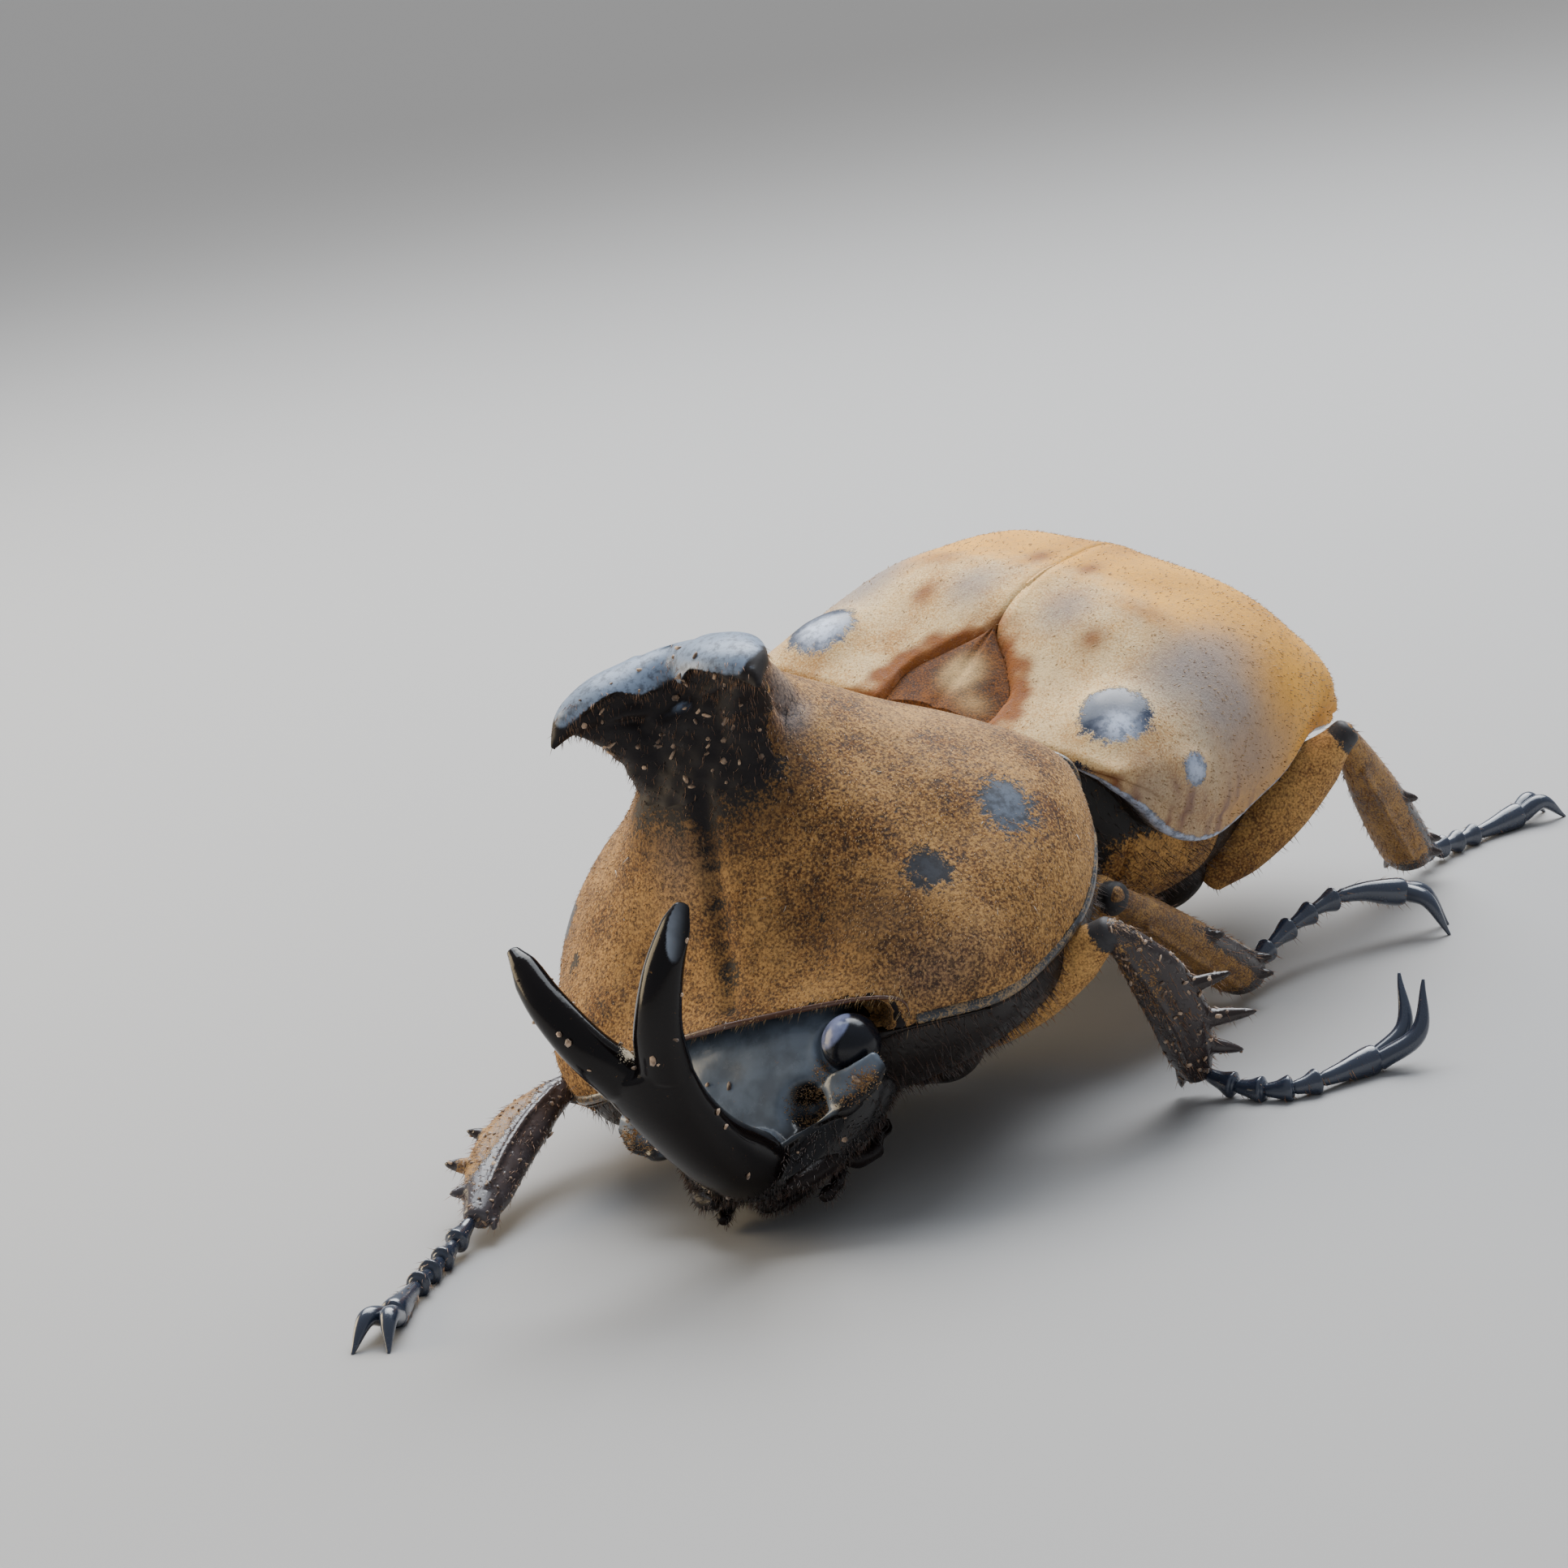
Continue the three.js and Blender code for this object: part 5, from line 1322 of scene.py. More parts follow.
def head_masks(form):
    """Where the head gets a painted sky reflection, furred with gold, and dusty."""
    points, faces = form
    normals = vertex_normals(points, faces)
    x, y, z = points.T
    frons = (smooth_step(5.6, 6.6, z) * smooth_step(-26.6, -25.3, y)
             * smooth_step(5.2, 4.4, np.abs(x)) * smooth_step(-0.1, 0.35, normals[:, 2]))
    dust, pits = np.zeros(len(points)), np.zeros(len(points))
    for side in (1, -1):
        dust += spots(points, [(0.62, (side * 4.0, -23.1, 7.7), (0.45, 0.6, 0.6)),
                               (0.66, (side * 6.5, -23.9, 7.3), (0.9, 0.8, 0.6)),
                               (0.5, (side * 5.6, -24.6, 6.7), (0.8, 0.5, 0.4))])
        pits += spot(points, (side * 3.05, -24.35, 6.35), (0.98, 0.95, 1.0), 5)
    ridge = np.minimum(near_line(points, CANTHUS_RIDGE)[0],
                       near_line(points * (-1, 1, 1), CANTHUS_RIDGE)[0])
    # Painted sky reflection: pale blue-grey on the frons and the canthus ridge, kept out of the
    # pits.
    sky_reflection = np.clip(np.maximum(frons, np.exp(-((ridge / 0.62) ** 4))) * (1 - pits), 0, 1)
    folded = np.stack([np.abs(x), y, z], 1)    # both sides laid over the left one
    shade = (1 - 0.35 * spot(points, (2.7, -22.6, 7.9), (1.0, 0.9, 0.9))
             - 0.3 * spot(folded, (2.0, -25.3, 6.2), (1.8, 1.3, 1.0))
             - 0.25 * smooth_step(9.4, 10.2, z))
    return {"lift": sky_reflection * shade, "pile": np.clip(dust * 0.8, 0, 1),
            "crumbs": np.clip(0.1 + 0.5 * dust + 0.3 * pits, 0, 1)}


def faceted_horn(form):
    """Gives each tine its flat bevelled face below the tip; also says where a highlight is painted
    on that face, strongest towards one side.
    """
    points, faces = form
    bevel_highlight = np.zeros(len(points))
    for side, worn in ((1, 0.12), (-1, 0.30)):
        tip = np.array([side * 4.6, -28.35, 19.55])
        way = unit(np.array([side * 0.35, 0.55, 0.76]))
        face = unit(np.array([side * 0.80, -0.48, 0.30]))
        face = unit(face - way * np.dot(face, way))
        back = (tip - points) @ way
        near = smooth_step(3.9, 3.0, back) * smooth_step(-1, -0.2, back) * (points[:, 0] * side > 0)
        over = np.maximum((points - tip) @ face - worn - 0.19 * np.clip(back, 0, 5), 0) * near
        points = points - face * (over * 0.97)[:, None]
        across = (points - tip) @ unit(np.cross(face, way)) * side
        # Painted highlight on the face, growing towards one side.
        bevel_highlight += smooth_step(0.01, 0.05, over) * smooth_step(-0.5, 0.6, across) ** 1.5
    return (points, faces), bevel_highlight


def feeler():
    """The left antenna: its scape, six beads and a club of three leaves."""
    root, end = np.array([4.0, -21.9, 2.65]), np.array([3.62, -20.5, 2.65])
    scape = limb([(3.5, -23.7, 3.3, 0.3), (3.7, -23.2, 2.95, 0.42), (3.9, -22.7, 2.75, 0.36),
                  (*root, 0.46)], outward=(0, 0, 1), sides=18)
    beads = [ball(lerp(root, end, t), (0.33, 0.2, 0.34), 12, 20) for t in np.linspace(0, 1, 6)]
    club = [limb([(3.6 - 0.1 * k, -20.6, 2.5 + 0.13 * k, 0.13, 0.25),
                  (3.42 - 0.12 * k, -19.7, 2.42 + 0.17 * k, 0.16, 0.52),
                  (3.22 - 0.12 * k, -18.8, 2.5 + 0.13 * k, 0.1, 0.28)], outward=(0.2, 0, 1),
                 sides=18) for k in range(3)]
    return together(scape, *beads, *club)


def jaw():
    return limb([(2.8, -23.2, 4.2, 0.9, 0.7), (3.3, -24.9, 4.2, 0.85, 0.6),
                 (2.9, -26.3, 4.2, 0.5, 0.45), (2.1, -26.9, 4.2, 0.28, 0.28)], sides=28)


def palp():
    parts = [limb([(2.2, -22.6, 3.0, 0.55, 0.5), (2.6, -23.3, 2.9, 0.42, 0.4)], sides=18)]
    joints = np.array([(2.6, -23.2, 2.88), (2.95, -24.1, 2.78), (3.1, -25.0, 2.75),
                       (2.8, -25.85, 2.75)])
    for a, b in zip(joints[:-1], joints[1:]):
        parts.append(limb([(*a, 0.2), (*lerp(a, b, 0.6), 0.36), (*b, 0.27)], sides=18))
    return together(*parts)


def make_head():
    """The head and its horn, cut apart from one skin, and the eyes and mouthparts."""
    stem, tines = horn_stem(), both_sides(horn_tine())
    edges = [form for part in (*canthus(), clypeal_ridge()) for form in both_sides(part)]
    whole = head_relief(fused([head_capsule(), *edges, stem, *tines], 0.1, 5))
    capsule = clipped(whole, HORN_ROOT, HORN_WAY)
    make_piece("head_shell", capsule, HEAD, head_cuticle, ["head"], head_masks(capsule),
               sharp=70)
    horn, bevel_highlight = faceted_horn(clipped(whole, HORN_ROOT, -HORN_WAY))
    crotch = spot(horn[0], (0, -30.3, 14.2), (1.1, 1.0, 0.7))
    make_piece("head_horn", horn, HEAD, horn_cuticle,
               ["head_horn_stem", "head_horn_tine_left", "head_horn_tine_right"],
               {"crumbs": np.clip(0.10 + 0.9 * crotch, 0, 1), "lift": bevel_highlight}, sharp=40)
    for side, turn in zip(SIDES, (lambda form: form, mirrored)):
        globe = ball(EYE_AT, EYE_RADIUS)
        # The painted reflection sits on the globe's upper side, turned to the sky.
        facing = (globe[0] - EYE_AT) @ unit([-0.35, -0.25, 0.9]) / EYE_RADIUS
        make_piece(f"eye_{side}_globe", turn(globe), HEAD, compound_eye, [f"eye_{side}"],
                   {"lift": 0.8 * smooth_step(0.66, 0.74, facing)})
        for name, ending, form in (("antenna", "joints", feeler()), ("mandible", "jaw", jaw()),
                                   ("maxilla", "palp", palp())):
            make_piece(f"{name}_{side}_{ending}", turn(form), HEAD, mouth_cuticle,
                       [f"{name}_{side}"])
    lip = limb([(0, -20.8, 2.8, 1.5, 0.4), (0, -22.8, 2.6, 1.6, 0.5), (0, -24.8, 2.7, 1.3, 0.45),
                (0, -25.9, 2.9, 0.7, 0.3)], sides=36)
    make_piece("labium_plate", lip, HEAD, mouth_cuticle, ["labium"])


# ---------------------------------------------------------------- legs

PLAIN_LEG = dict(teeth=False, raised=False, worn=1.0, swing=(0, 0, 0))
LEGS = {
    "front_left": dict(
        coxa=within([4.2, -12.6, 3.9], fore_frame), knee=(19.2, -7.8, 10.1),
        ankle=(19.6, -2.7, 1.2), toes=[(21.9, -2.6, 0.6), (24.3, -1.9, 0.56), (26.4, 2.5, 0.7)],
        claw=(27.2, 5.0, 4.0), outward=(0.8, 0.5, 0.2), teeth=True, raised=True),
    "front_right": dict(
        coxa=within([-4.2, -12.6, 3.9], fore_frame), knee=(-7.2, -19.0, 3.8),
        ankle=(-4.6, -29.3, 1.25), toes=[(-3.7, -32.3, 0.6), (-2.4, -35.5, 0.56),
                                         (-0.8, -38.7, 0.62)],
        claw=(0.2, -41.1, 0.05), outward=(-0.8, -0.3, 0.3), teeth=True, worn=0.6),
    "middle_left": dict(
        coxa=within([5.5, 4.0, 3.6], hind_frame), knee=(14.0, -0.3, 9.0), ankle=(13.9, 9.4, 1.45),
        toes=[(14.2, 13.8, 2.7), (15.2, 17.6, 3.2), (16.8, 20.7, 2.4)], claw=(18.4, 21.8, 0.05),
        outward=(1, 0.2, 0.3)),
    "middle_right": dict(
        coxa=within([-5.5, 4.0, 3.6], hind_frame), knee=(-13.8, 1.6, 10.6),
        ankle=(-18.0, 9.0, 1.5), toes=[(-19.6, 12.4, 0.8), (-21.0, 15.8, 0.56),
                                       (-22.2, 18.6, 0.7)],
        claw=(-23.0, 20.8, 0.05), outward=(-1, 0, 0.4)),
    "hind_left": dict(
        coxa=within([6.6, 12.4, 3.6], hind_frame), knee=(14.1, 20.8, 11.0),
        ankle=(11.8, 28.9, 1.5), toes=[(11.6, 32.3, 0.8), (12.0, 35.9, 0.56), (12.8, 38.9, 0.7)],
        claw=(13.6, 41.1, 0.05), outward=(1, 0.3, 0.3), swing=(1.2, 0.8, -0.9)),
    "hind_right": dict(
        coxa=within([-6.6, 12.4, 3.6], hind_frame), knee=(-12.8, 20.8, 12.0),
        ankle=(-14.8, 28.3, 1.55), toes=[(-15.6, 31.6, 0.8), (-16.8, 35.0, 0.56),
                                         (-18.0, 38.0, 0.7)],
        claw=(-19.0, 40.2, 0.05), outward=(-1, 0.3, 0.3)),
}
LEGS = {name: {key: value if isinstance(value, (bool, float)) else np.array(value, float)
               for key, value in {**PLAIN_LEG, **leg}.items()} for name, leg in LEGS.items()}


def segment(a, b, sizes, **options):
    """A straight limb from a to b, with (place, half width, half depth) along it."""
    a, b = np.array(a, float), np.array(b, float)
    return limb([(*lerp(a, b, t), wide, deep) for t, wide, deep in sizes], **options)


def spine(root, way, length, thick):
    """A straight spine or tooth, rooted a little inside its skin."""
    ahead = unit(way) * length
    places = [(-0.4, 1.3), (0.1, 1.15), (0.55, 0.85), (0.85, 0.5), (1.0, 0.2)]
    return limb([(*(root + ahead * t), thick * k, thick * k) for t, k in places],
                outward=(ahead[1] + 0.01, ahead[2], ahead[0]), sides=16, steps=16)


def tibia(leg):
    """A shin with its teeth or spurs, how far down and how far out each point of it is."""
    knee, ankle, out = leg["knee"], leg["ankle"], leg["outward"]
    axis = unit(ankle - knee)
    out = unit(out - axis * np.dot(out, axis))
    side = np.cross(axis, out)

    def at(t, o, s=0.0):
        return lerp(knee, ankle, t) + out * o + side * s

    def towards(o, along):
        return out * o + axis * along

    def blade(sizes, square):
        return limb([(*at(t, o), wide, deep) for t, o, wide, deep in sizes],
                    outward=leg["outward"], sides=36, steps=60, square=square, ends=(0.5, 0.4))
    if leg["teeth"]:
        worn = leg["worn"]
        parts = [blade([(-0.03, 0.1, 0.6, 0.6), (0.15, 0.6, 1.0, 0.8), (0.36, 0.85, 1.42, 0.9),
                        (0.62, 0.7, 1.48, 0.9), (0.84, 0.15, 1.2, 0.8), (1, -0.2, 0.72, 0.6)], 1.0),
                 spine(at(0.48, 1.75), towards(1, 0.1), 2.3 * worn, 0.38),
                 spine(at(0.69, 1.4), towards(1, 0.35), 2.8 * worn, 0.44),
                 spine(at(0.83, 0.8), towards(1, 0.9), 2.2 * worn, 0.40),
                 spine(at(0.93, -0.7), towards(-0.5, 1), 1.3, 0.28)]
        ridge = [(0.12, 0.4, 0.72), (0.36, 0.55, 0.88), (0.62, 0.4, 0.88), (0.86, 0.0, 0.72)]
    else:
        parts = [blade([(-0.03, 0, 0.6, 0.55), (0.2, 0, 1.0, 0.8), (0.55, 0, 1.4, 1.0),
                        (0.9, 0, 1.5, 1.15), (1, 0, 1.3, 1.05)], 0.9),
                 spine(at(0.55, 1.2), towards(1, 0.6), 0.9, 0.3)]
        parts += [spine(at(0.95, 1.0, s), towards(1, 0.6), 1.0, 0.3) for s in (0.4, -0.5)]
        parts += [spine(at(0.92, -0.8, s), towards(-0.6, 1), 1.6, 0.3) for s in (0.35, -0.35)]
        ridge = [(0.2, 0.3, 0.8), (0.55, 0.4, 0.98), (0.9, 0.4, 1.1)]
    for turn in (1, -1):
        parts.append(limb([(*at(t, o, turn * s), 0.2, 0.2) for t, o, s in ridge], sides=12))
    form = fused(parts, 0.11, 3)
    points = form[0]
    share = (points - knee) @ axis / np.linalg.norm(ankle - knee)
    apart = (points - knee) @ out
    return form, share, apart


def tarsus(leg):
    """Five tarsomeres: four short flared ones, and a long last one."""
    ends = [0.03, 0.2, 0.36, 0.5, 0.64, 1]
    line = np.array([leg["ankle"], *leg["toes"]], float)
    fine = smooth_path(line, np.linspace(0, 1, 400))
    reach = np.concatenate([[0], np.cumsum(np.linalg.norm(np.diff(fine, axis=0), axis=1))])
    reach /= reach[-1]

    def at(t):
        return np.array([np.interp(t, reach, fine[:, k]) for k in range(3)])
    short = [(0.0, 0.24), (0.12, 0.34), (0.5, 0.46), (0.82, 0.64), (0.94, 0.66), (1.0, 0.5)]
    last = [(0.0, 0.24), (0.1, 0.38), (0.4, 0.52), (0.75, 0.72), (0.93, 0.74), (1.0, 0.5)]
    joints = []
    for low, high, sizes in zip(ends[:-1], ends[1:], 4 * [short] + [last]):
        table = [(*at(lerp(low, high, t)), size, size * 0.9) for t, size in sizes]
        joints.append(limb(table, outward=(0.3, 0.2, 1), sides=24, ends=(0.3, 0.3)))
    return together(*joints)


def claws(leg):
    """A pair of hooked claws on the end of the last tarsomere."""
    root = leg["toes"][-1]
    way = leg["claw"] - root
    side = unit(np.cross((0, 0, 1), way))
    bulge = (0.8, 0.1, -0.6) if leg["raised"] else (0, 0, 0.8)
    hooks = []
    for turn in (1, -1):
        start = root + side * (turn * 0.2) - way * 0.03
        tip = root + way + side * (turn * 0.9)
        middle = lerp(start, tip, 0.5) + bulge
        hooks.append(limb([(*start, 0.5, 0.5), (*middle, 0.46, 0.42), (*tip, 0.09, 0.09)],
                          outward=side, sides=24, steps=30, ends=(0.4, 1.2)))
    return together(*hooks)


def make_leg(name, leg):
    """A leg's five pieces, with the thigh bare at the knee, and bare and black as painted shadow
    where it lies under the elytral rim.
    """
    coxa, knee = leg["coxa"], leg["knee"]
    hip = segment(coxa, lerp(coxa, knee, 0.24), [(-0.3, 1.0, 0.9), (0.2, 1.7, 1.5),
                  (0.7, 1.6, 1.4), (1.1, 0.7, 0.6)], outward=leg["outward"], sides=40)
    make_piece(f"coxa_{name}_joint", hip, FLOOR, underside_cuticle, [f"coxa_{name}"],
               {"pile": 0.2})
    thigh = segment(lerp(coxa, knee, 0.16) + leg["swing"], knee,
                    [(0, 0.8, 0.7), (0.2, 1.5, 1.2), (0.5, 1.75, 1.35), (0.8, 1.4, 1.1),
                     (0.93, 0.95, 0.85), (1.02, 0.78, 0.72)],
                    outward=(0, 0.2, 1), sides=48, steps=60)
    share = (thigh[0] - coxa) @ (knee - coxa) / np.dot(knee - coxa, knee - coxa)
    bare = smooth_step(0.93, 0.99, share)
    side = 1 if name.endswith("left") else -1
    # Painted shadow: the thigh is bare and black, with a faint painted sheen, where it lies under
    # the elytral rim.
    rim = within(elytra_point(np.linspace(8, 26, 30), 1.0) * (side, 1, 1), HIND)
    bare = np.maximum(bare, smooth_step(2.5, 1.7, near_line(thigh[0], rim)[0]))
    make_piece(f"femur_{name}_joint", thigh, FLOOR, limb_velvet, [f"femur_{name}"],
               {"pile": 0.92 * (1 - bare), "painted_sheen": bare * 0.1, "crumbs": 0.15})
    shin, share, apart = tibia(leg)
    lift = 0.5 if name == "front_right" else 0.1
    if name == "front_right":
        velvet = 0.9 * smooth_step(0.95, 0.7, share) * smooth_step(0.7, 1.3, apart)
    elif leg["teeth"]:
        velvet = 0.30 * smooth_step(0.9, 0.3, share) * smooth_step(1.7, 1.1, apart)
    else:
        velvet = 0.95 * smooth_step(1.5, 1.1, apart) * smooth_step(1.0, 0.85, share)
    tips = smooth_step(2.1, 2.6, apart) if leg["teeth"] else smooth_step(1.3, 1.7, apart)
    make_piece(f"tibia_{name}_joint", shin, FLOOR, tibia_cuticle, [f"tibia_{name}"],
               {"pile": velvet * (1 - tips), "crumbs": 0.4 * (1 - tips), "lift": lift * (1 - tips)})
    make_piece(f"tarsus_{name}_joints", tarsus(leg), FLOOR, tarsus_cuticle, [f"tarsus_{name}"])
    make_piece(f"claw_{name}_pair", claws(leg), FLOOR, tarsus_cuticle, [f"claw_{name}"])


# ---------------------------------------------------------------- hair, bristles and crumbs

PER_MM2 = 1e6
TUFT_PATCH = 0.003                      # how much of the OFBake map one tuft takes up
PATCH_START, PATCH_SPAN = 0.01, 0.97    # the part of a skin's strip of the map that is used


def scatter_tree(name, lump=False):
    """Scatters tapered hairs, or lumps of debris, over a skin as its `growth` says."""
    tree, net, given, out = new_group(name, "GeometryNodeTree", [
        ("Skin", "Geometry", None), ("Density", "Float", PER_MM2), ("Length", "Float", 0.3 * MM),
        ("Width", "Float", 0.04 * MM), ("Stand", "Float", 0.5), ("Lay", "Float", 1.0),
        ("Ragged", "Float", 0.3), ("Bend", "Float", 0.2), ("Seed", "Int", 1),
        ("Finish", "Material", None)], [("Coat", "Geometry")])

    def named(label, kind):
        return net.add("GeometryNodeInputNamedAttribute", {"Name": label},
                       data_type=kind).outputs[0]

    def stored(geometry, label, value, kind):
        return net.add("GeometryNodeStoreNamedAttribute",
                       {"Geometry": geometry, "Name": label, "Value": value},
                       data_type=kind, domain="CORNER").outputs[0]

    def added(a, b):
        return net.add("ShaderNodeVectorMath", {0: a, 1: b}, operation="ADD").outputs[0]

    def scaled(a, scale):
        return net.add("ShaderNodeVectorMath", {0: a, "Scale": scale},
                       operation="SCALE").outputs[0]

    def random_between(low, high, salt, kind="FLOAT"):
        node = net.add("FunctionNodeRandomValue", data_type=kind)
        sockets = [k for k in node.inputs if k.enabled]
        net.feed(sockets[0], low)
        net.feed(sockets[1], high)
        net.feed(node.inputs["Seed"], net.plus(given["Seed"], salt))
        return next(k for k in node.outputs if k.enabled)

    # one tuft, bent or crumpled
    if lump:
        shape = net.add("GeometryNodeMeshIcoSphere", {"Radius": 0.5, "Subdivisions": 1})
    else:
        shape = net.add("GeometryNodeMeshCone", {"Vertices": 3, "Side Segments": 2,
                        "Radius Top": 0.0, "Radius Bottom": 0.5, "Depth": 1.0})
    one = stored(shape.outputs["Mesh"], "tuft_uv", shape.outputs["UV Map"], "FLOAT_VECTOR")
    position = net.add("GeometryNodeInputPosition").outputs[0]
    if lump:
        crumple = net.add("ShaderNodeTexNoise", {"Vector": position, "Scale": 2.3})
        push = scaled(crumple.outputs["Color"], given["Bend"])
    else:
        height = net.add("ShaderNodeSeparateXYZ", {0: position}).outputs["Z"]
        curl = net.times(net.times(height, height), given["Bend"])
        push = net.add("ShaderNodeCombineXYZ", {"X": curl}).outputs[0]
    one = net.add("GeometryNodeSetPosition", {"Geometry": one, "Offset": push}).outputs[0]

    # where the tufts stand, how they lie and how large they are
    spread = net.add("GeometryNodeDistributePointsOnFaces", {
        "Mesh": given["Skin"], "Seed": given["Seed"],
        "Density": net.times(given["Density"], named("growth", "FLOAT"))},
        distribute_method="RANDOM")
    lie = named("lie", "FLOAT_VECTOR")
    way = added(scaled(spread.outputs["Normal"], given["Stand"]), scaled(lie, given["Lay"]))
    jitter = random_between((-1, -1, -1), (1, 1, 1), 11, "FLOAT_VECTOR")
    way = added(way, scaled(jitter, given["Ragged"]))
    turn = net.add("FunctionNodeAlignRotationToVector", {"Vector": way}, axis="Z").outputs[0]
    turn = net.add("FunctionNodeAlignRotationToVector", {
        "Rotation": turn, "Vector": added(jitter, lie) if lump else lie},
        axis="X", pivot_axis="Z").outputs[0]
    long = net.times(given["Length"], random_between(0.6, 1.25, 23))
    wide = net.times(given["Width"], random_between(0.7, 1.3, 37))
    deep = net.times(wide, random_between(0.35, 1.1, 53)) if lump else wide
    wide = net.times(wide, random_between(0.5, 2.0, 41)) if lump else wide
    size = net.add("ShaderNodeCombineXYZ", {"X": wide, "Y": deep, "Z": long}).outputs[0]
    tufts = net.add("GeometryNodeInstanceOnPoints", {
        "Points": spread.outputs["Points"], "Instance": one, "Rotation": turn, "Scale": size})

    # plain mesh, with a small patch of the map for each tuft at its root's place
    real = net.add("GeometryNodeRealizeInstances", {0: tufts.outputs[0]}).outputs[0]
    patch = added(named("root_uv", "FLOAT_VECTOR"),
                  scaled(named("tuft_uv", "FLOAT_VECTOR"), TUFT_PATCH))
    real = stored(real, "OFBake", patch, "FLOAT2")
    real = net.add("GeometryNodeSetMaterial", {"Geometry": real,
                                               "Material": given["Finish"]}).outputs[0]
    net.feed(out["Coat"], real)
    return tree


hair_scatter = scatter_tree("scattered_hairs")
crumb_scatter = scatter_tree("scattered_crumbs", lump=True)


def skin_for_coat(patches):
    """One mesh of the skins that carry a coat, in metres, with where and how it grows."""
    forms, growth, lie, root_uv = [], [], [], []
    for k, (name, grows, direction) in enumerate(patches):
        form, place = pieces[name]
        points = form[0]
        forms.append((within(points, place) * MM, form[1]))
        amount = grows(points, vertex_normals(*form)) if callable(grows) else grows
        growth.append(np.clip(np.broadcast_to(amount, len(points)), 0, 1))
        lie.append(np.broadcast_to(np.array(direction, float), points.shape) @ place[:3, :3].T)
        low, high = points.min(0), points.max(0)
        middle = (low + high) / 2
        around = np.arctan2(points[:, 0] - middle[0], points[:, 2] - middle[2])
        along = (points[:, 1] - low[1]) / (high[1] - low[1])
        root_uv.append(np.stack([PATCH_START + PATCH_SPAN * (0.5 + around / (2 * math.pi)),
                                 (k + PATCH_START + PATCH_SPAN * along) / len(patches),
                                 0 * along], 1))
    mesh = new_mesh("skin_for_coat", together(*forms))
    for label, kind, field, values in (("growth", "FLOAT", "value", growth),
                                       ("lie", "FLOAT_VECTOR", "vector", lie),
                                       ("root_uv", "FLOAT_VECTOR", "vector", root_uv)):
        data = np.ascontiguousarray(np.concatenate(values), np.float32).ravel()
        mesh.attributes.new(label, kind, "POINT").data.foreach_set(field, data)
    return mesh


def make_coat(name, patches, finish, slot, tree=hair_scatter, density=1.0, length=0.3,
              width=0.04, stand=0.5, lay=1.0, ragged=0.3, bend=0.3, seed=1):
    """Grows one coat. Each patch is (piece, growth, the way the hairs lie), where growth is
    a share of `density`, or a function of the skin's points and normals that gives it.
    `density` is per square millimetre, and the sizes are in millimetres."""
    mesh = skin_for_coat(patches)
    skin_object = add_object("skin_for_coat", mesh)
    modifier = skin_object.modifiers.new("coat", "NODES")
    modifier.node_group = tree
    identifier = {item.name: item.identifier for item in tree.interface.items_tree
                  if item.in_out == "INPUT"}
    for label, value in (("Density", density * PER_MM2), ("Length", length * MM),
                         ("Width", width * MM), ("Stand", stand), ("Lay", lay),
                         ("Ragged", ragged), ("Bend", bend), ("Seed", seed),
                         ("Finish", finish)):
        modifier[identifier[label]] = value
    grown = evaluated_mesh(skin_object)
    bpy.data.objects.remove(skin_object)
    bpy.data.meshes.remove(mesh)
    grown.name = name
    places = flat_points(grown)
    places[2::3] = np.maximum(places[2::3], 0)    # nothing under the floor
    grown.vertices.foreach_set("co", places)
    for spare in ("growth", "lie", "root_uv", "tuft_uv"):
        if spare in grown.attributes:
            grown.attributes.remove(grown.attributes[spare])
    grown.polygons.foreach_set("use_smooth", np.ones(len(grown.polygons), bool))
    piece = add_object(name, grown)
    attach(piece, BODY_NAME)


# Where each coat grows: functions of a skin's points and normals, in its own frame.


def shell_pile(points, normals):
    return pronotum_masks(points, normals)["pile"] ** 2


def wing_pile(points, normals):
    return pieces_masks["elytron_shell_left"]["pile"] ** 2 * (normals[:, 2] > -0.2)


def front_margin_hair(points, normals):
    line = pronotum_point(1, np.linspace(-0.9, 0.9, 41))
    return np.exp(-((near_line(points, line)[0] / 0.35) ** 2))


def side_margin_hair(points, normals):
    total = 0
    for side in (-1, 1):
        line = pronotum_point(np.linspace(0, 1, 41), side) - (0, 0, 0.3)
        total = total + np.exp(-((near_line(points, line)[0] / 0.3) ** 2))
    return total


def horn_hair(points, normals):
    rise = (points - HORN_FOOT) @ HORN_RISE
    front = smooth_step(-0.1, -0.5, normals[:, 1] + 0.3 * normals[:, 2])
    below = smooth_step(0.1, -0.4, normals[:, 2])
    return np.clip(0.35 * front + below, 0, 1) * smooth_step(-2, 0.5, rise)


def breast_hair(points, normals):
    return smooth_step(0.5, 0.0, normals[:, 2])


def beneath(share):
    return lambda points, normals: smooth_step(0.2, -0.3, normals[:, 2]) * share


def mouth_hair(points, normals):
    x, y, z = points.T
    front = smooth_step(-23.6, -24.8, y) * smooth_step(6.1, 5.4, z)
    cheeks = smooth_step(5.6, 4.4, z) * smooth_step(2.4, 3.6, np.abs(x))
    return 0.7 * front + 0.5 * cheeks


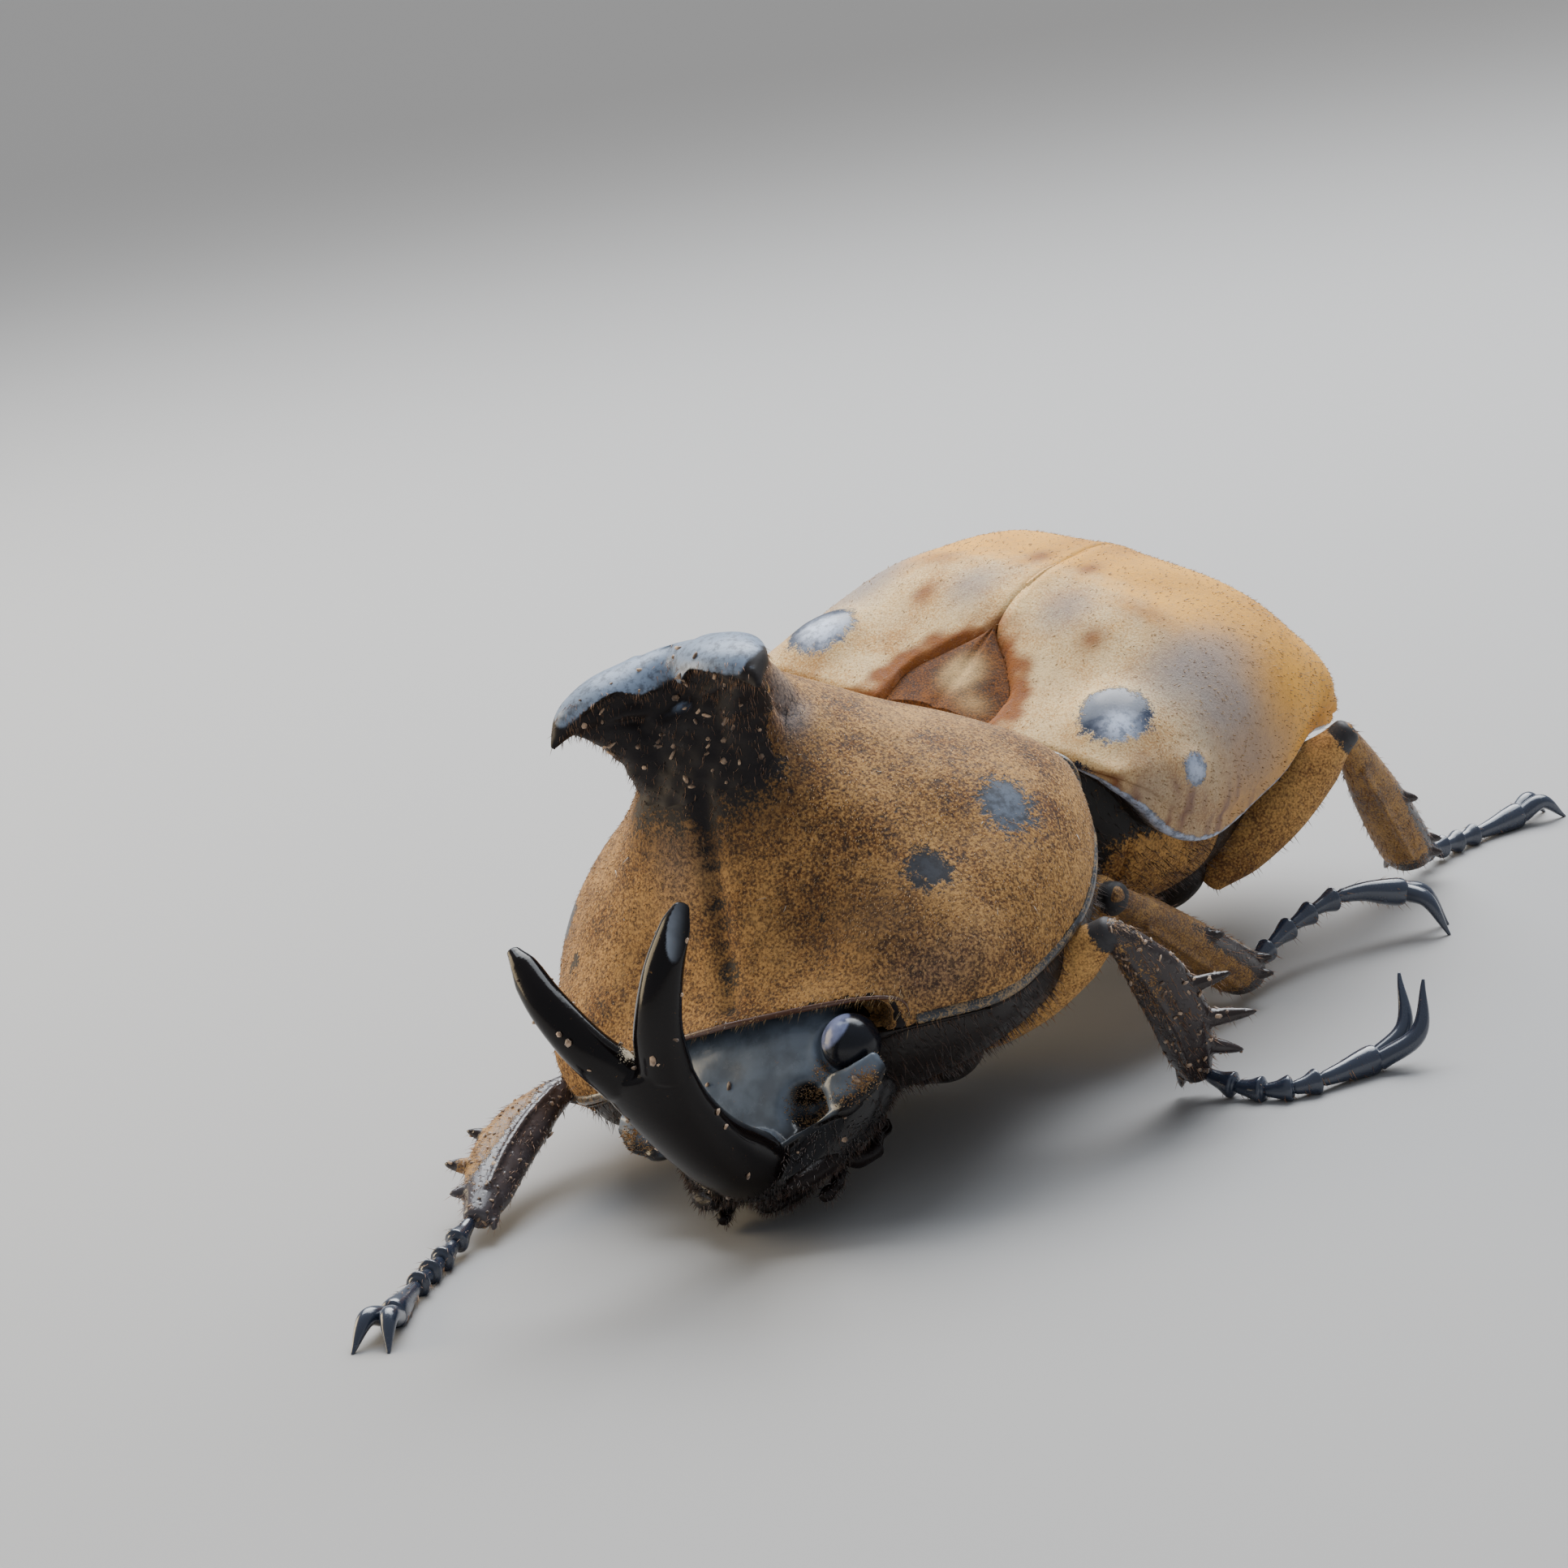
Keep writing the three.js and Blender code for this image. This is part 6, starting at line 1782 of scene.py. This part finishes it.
def face_gold(points, normals):
    """Gold fuzz round the pits, on the canthi and beside the eyes."""
    total = 0
    for side in (1, -1):
        pit = near_line(points, [(side * 3.1, -24.2, 6.6), (side * 3.11, -24.2, 6.61)])[0]
        ring = (1.2 * np.exp(-(((pit - 0.85) / 0.25) ** 2))
                * smooth_step(-24.7, -24.1, points[:, 1]))
        total = total + spots(points, [
            (1.0, (side * 6.4, -24.1, 7.2), (0.8, 0.7, 0.5), 3),
            (0.8, (side * 5.5, -24.6, 6.8), (0.6, 0.5, 0.4), 3),
            (0.9, (side * 4.0, -23.1, 7.7), (0.4, 0.5, 0.5), 3),
            (0.7, (side * 7.1, -22.4, 8.0), (0.5, 0.6, 0.6), 3)], ring)
    return total


def horn_crumbs(points, normals):
    rise = (points - HORN_FOOT) @ HORN_RISE
    front = smooth_step(-0.2, -0.5, normals[:, 1]) * smooth_step(-1.5, 0.0, rise)
    return front * smooth_step(5.0, 4.0, np.abs(points[:, 0]))


def crotch_crumbs(points, normals):
    return spot(points, (0, -30.3, 14.2), (1.0, 1.0, 0.9), 4) + 0.2


def face_crumbs(points, normals):
    return 0.2 * smooth_step(-22.5, -24.5, points[:, 1])


def make_coats():
    make_coat("pronotum_pile", [("pronotum_shell", shell_pile, (0, -0.8, -0.5))], pile_hair,
              "velvet", density=13, length=0.2, ragged=0.4, bend=0.35, seed=3)
    make_coat("pronotum_front_fringe", [("pronotum_shell", front_margin_hair, (0, -1, -0.35))],
              gold_hair, "velvet", density=26, length=0.6, width=0.035, stand=0.25, ragged=0.35,
              seed=5)
    make_coat("pronotum_side_fringe", [("pronotum_shell", side_margin_hair, (0, -0.4, -1.0))],
              copper_hair, "velvet", density=20, length=0.55, width=0.035, ragged=0.4, seed=7)
    make_coat("pronotal_horn_fringe",
              [("pronotal_horn_shell", horn_hair, (0, -0.5, -0.8)),
               ("pronotum_shell", lambda p, n: 0.5 * horn_hair(p, n), (0, -0.5, -0.8))],
              copper_hair, "horn", density=14, length=0.42, stand=0.6, ragged=0.45, seed=9)
    for side in SIDES:
        make_coat(f"elytron_pile_{side}", [(f"elytron_shell_{side}", wing_pile, (0, 0.9, -0.4))],
                  pile_hair, "elytra", density=8, length=0.24, width=0.05, stand=0.45,
                  ragged=0.5, seed=13)
    make_coat("underside_fur",
              [("prosternum_plate", breast_hair, (0, 0.3, -0.8)),
               ("thorax_trunk", beneath(0.9), (0, 0.7, -0.5)),
               ("abdomen_trunk", beneath(0.35), (0, 0.9, -0.3)),
               ("pygidium_plate", 0.5, (0, 0.5, -0.8))],
              dark_hair, "underside", density=7, length=0.75, width=0.045, stand=0.45,
              ragged=0.4, seed=17)
    make_coat("mouth_beard",
              [("head_shell", mouth_hair, (0, -0.7, -0.5)),
               ("labium_plate", 0.8, (0, -0.8, -0.4)),
               *((f"mandible_{side}_jaw", 0.45, (0, -0.8, -0.4)) for side in SIDES),
               *((f"maxilla_{side}_palp", 0.5, (0, -0.8, -0.4)) for side in SIDES)],
              dark_hair, "black", density=34, length=0.45, width=0.045, stand=0.6, ragged=0.5,
              seed=19)
    make_coat("face_gold_dust", [("head_shell", face_gold, (0, -0.4, 0.3))], face_hair, "black",
              density=95, length=0.15, width=0.06, stand=0.8, ragged=0.9, seed=21)
    for name, leg in LEGS.items():
        along = unit(leg["ankle"] - leg["knee"]) * 0.9
        make_coat(f"bristles_{name}",
                  [(f"tibia_{name}_joint", 0.75, along), (f"femur_{name}_joint", 0.5, along),
                   (f"tarsus_{name}_joints", 0.45, along)],
                  copper_hair, "black", density=7, length=0.55, stand=0.4, ragged=0.35,
                  bend=0.25, seed=23)
    make_coat("pronotum_fibres", [("pronotum_shell", shell_pile, (0.6, -0.8, -0.3))],
              fibre_finish, "velvet", density=0.05, length=0.7, width=0.045, stand=0.15,
              ragged=1.2, seed=37)
    crumbs = dict(tree=crumb_scatter, stand=1.0, lay=0.2, ragged=0.7, bend=0.5)
    make_coat("pronotal_horn_crumbs",
              [("pronotal_horn_shell", horn_crumbs, (0.7, 0, 0.3)),
               ("head_horn", crotch_crumbs, (0.7, 0, 0.3)),
               ("head_shell", face_crumbs, (0.7, 0, 0.3))],
              crumb_finish, "horn", density=0.7, length=0.17, width=0.34, seed=29, **crumbs)
    make_coat("leg_crumbs", [(f"tibia_front_{side}_joint", 1, (0.7, 0, 0.3)) for side in SIDES],
              crumb_finish, "black", density=1.4, length=0.14, width=0.27, seed=31, **crumbs)


make_prothorax()
make_hind_body()
make_head()
for leg_name, leg in LEGS.items():
    make_leg(leg_name, leg)
make_coats()
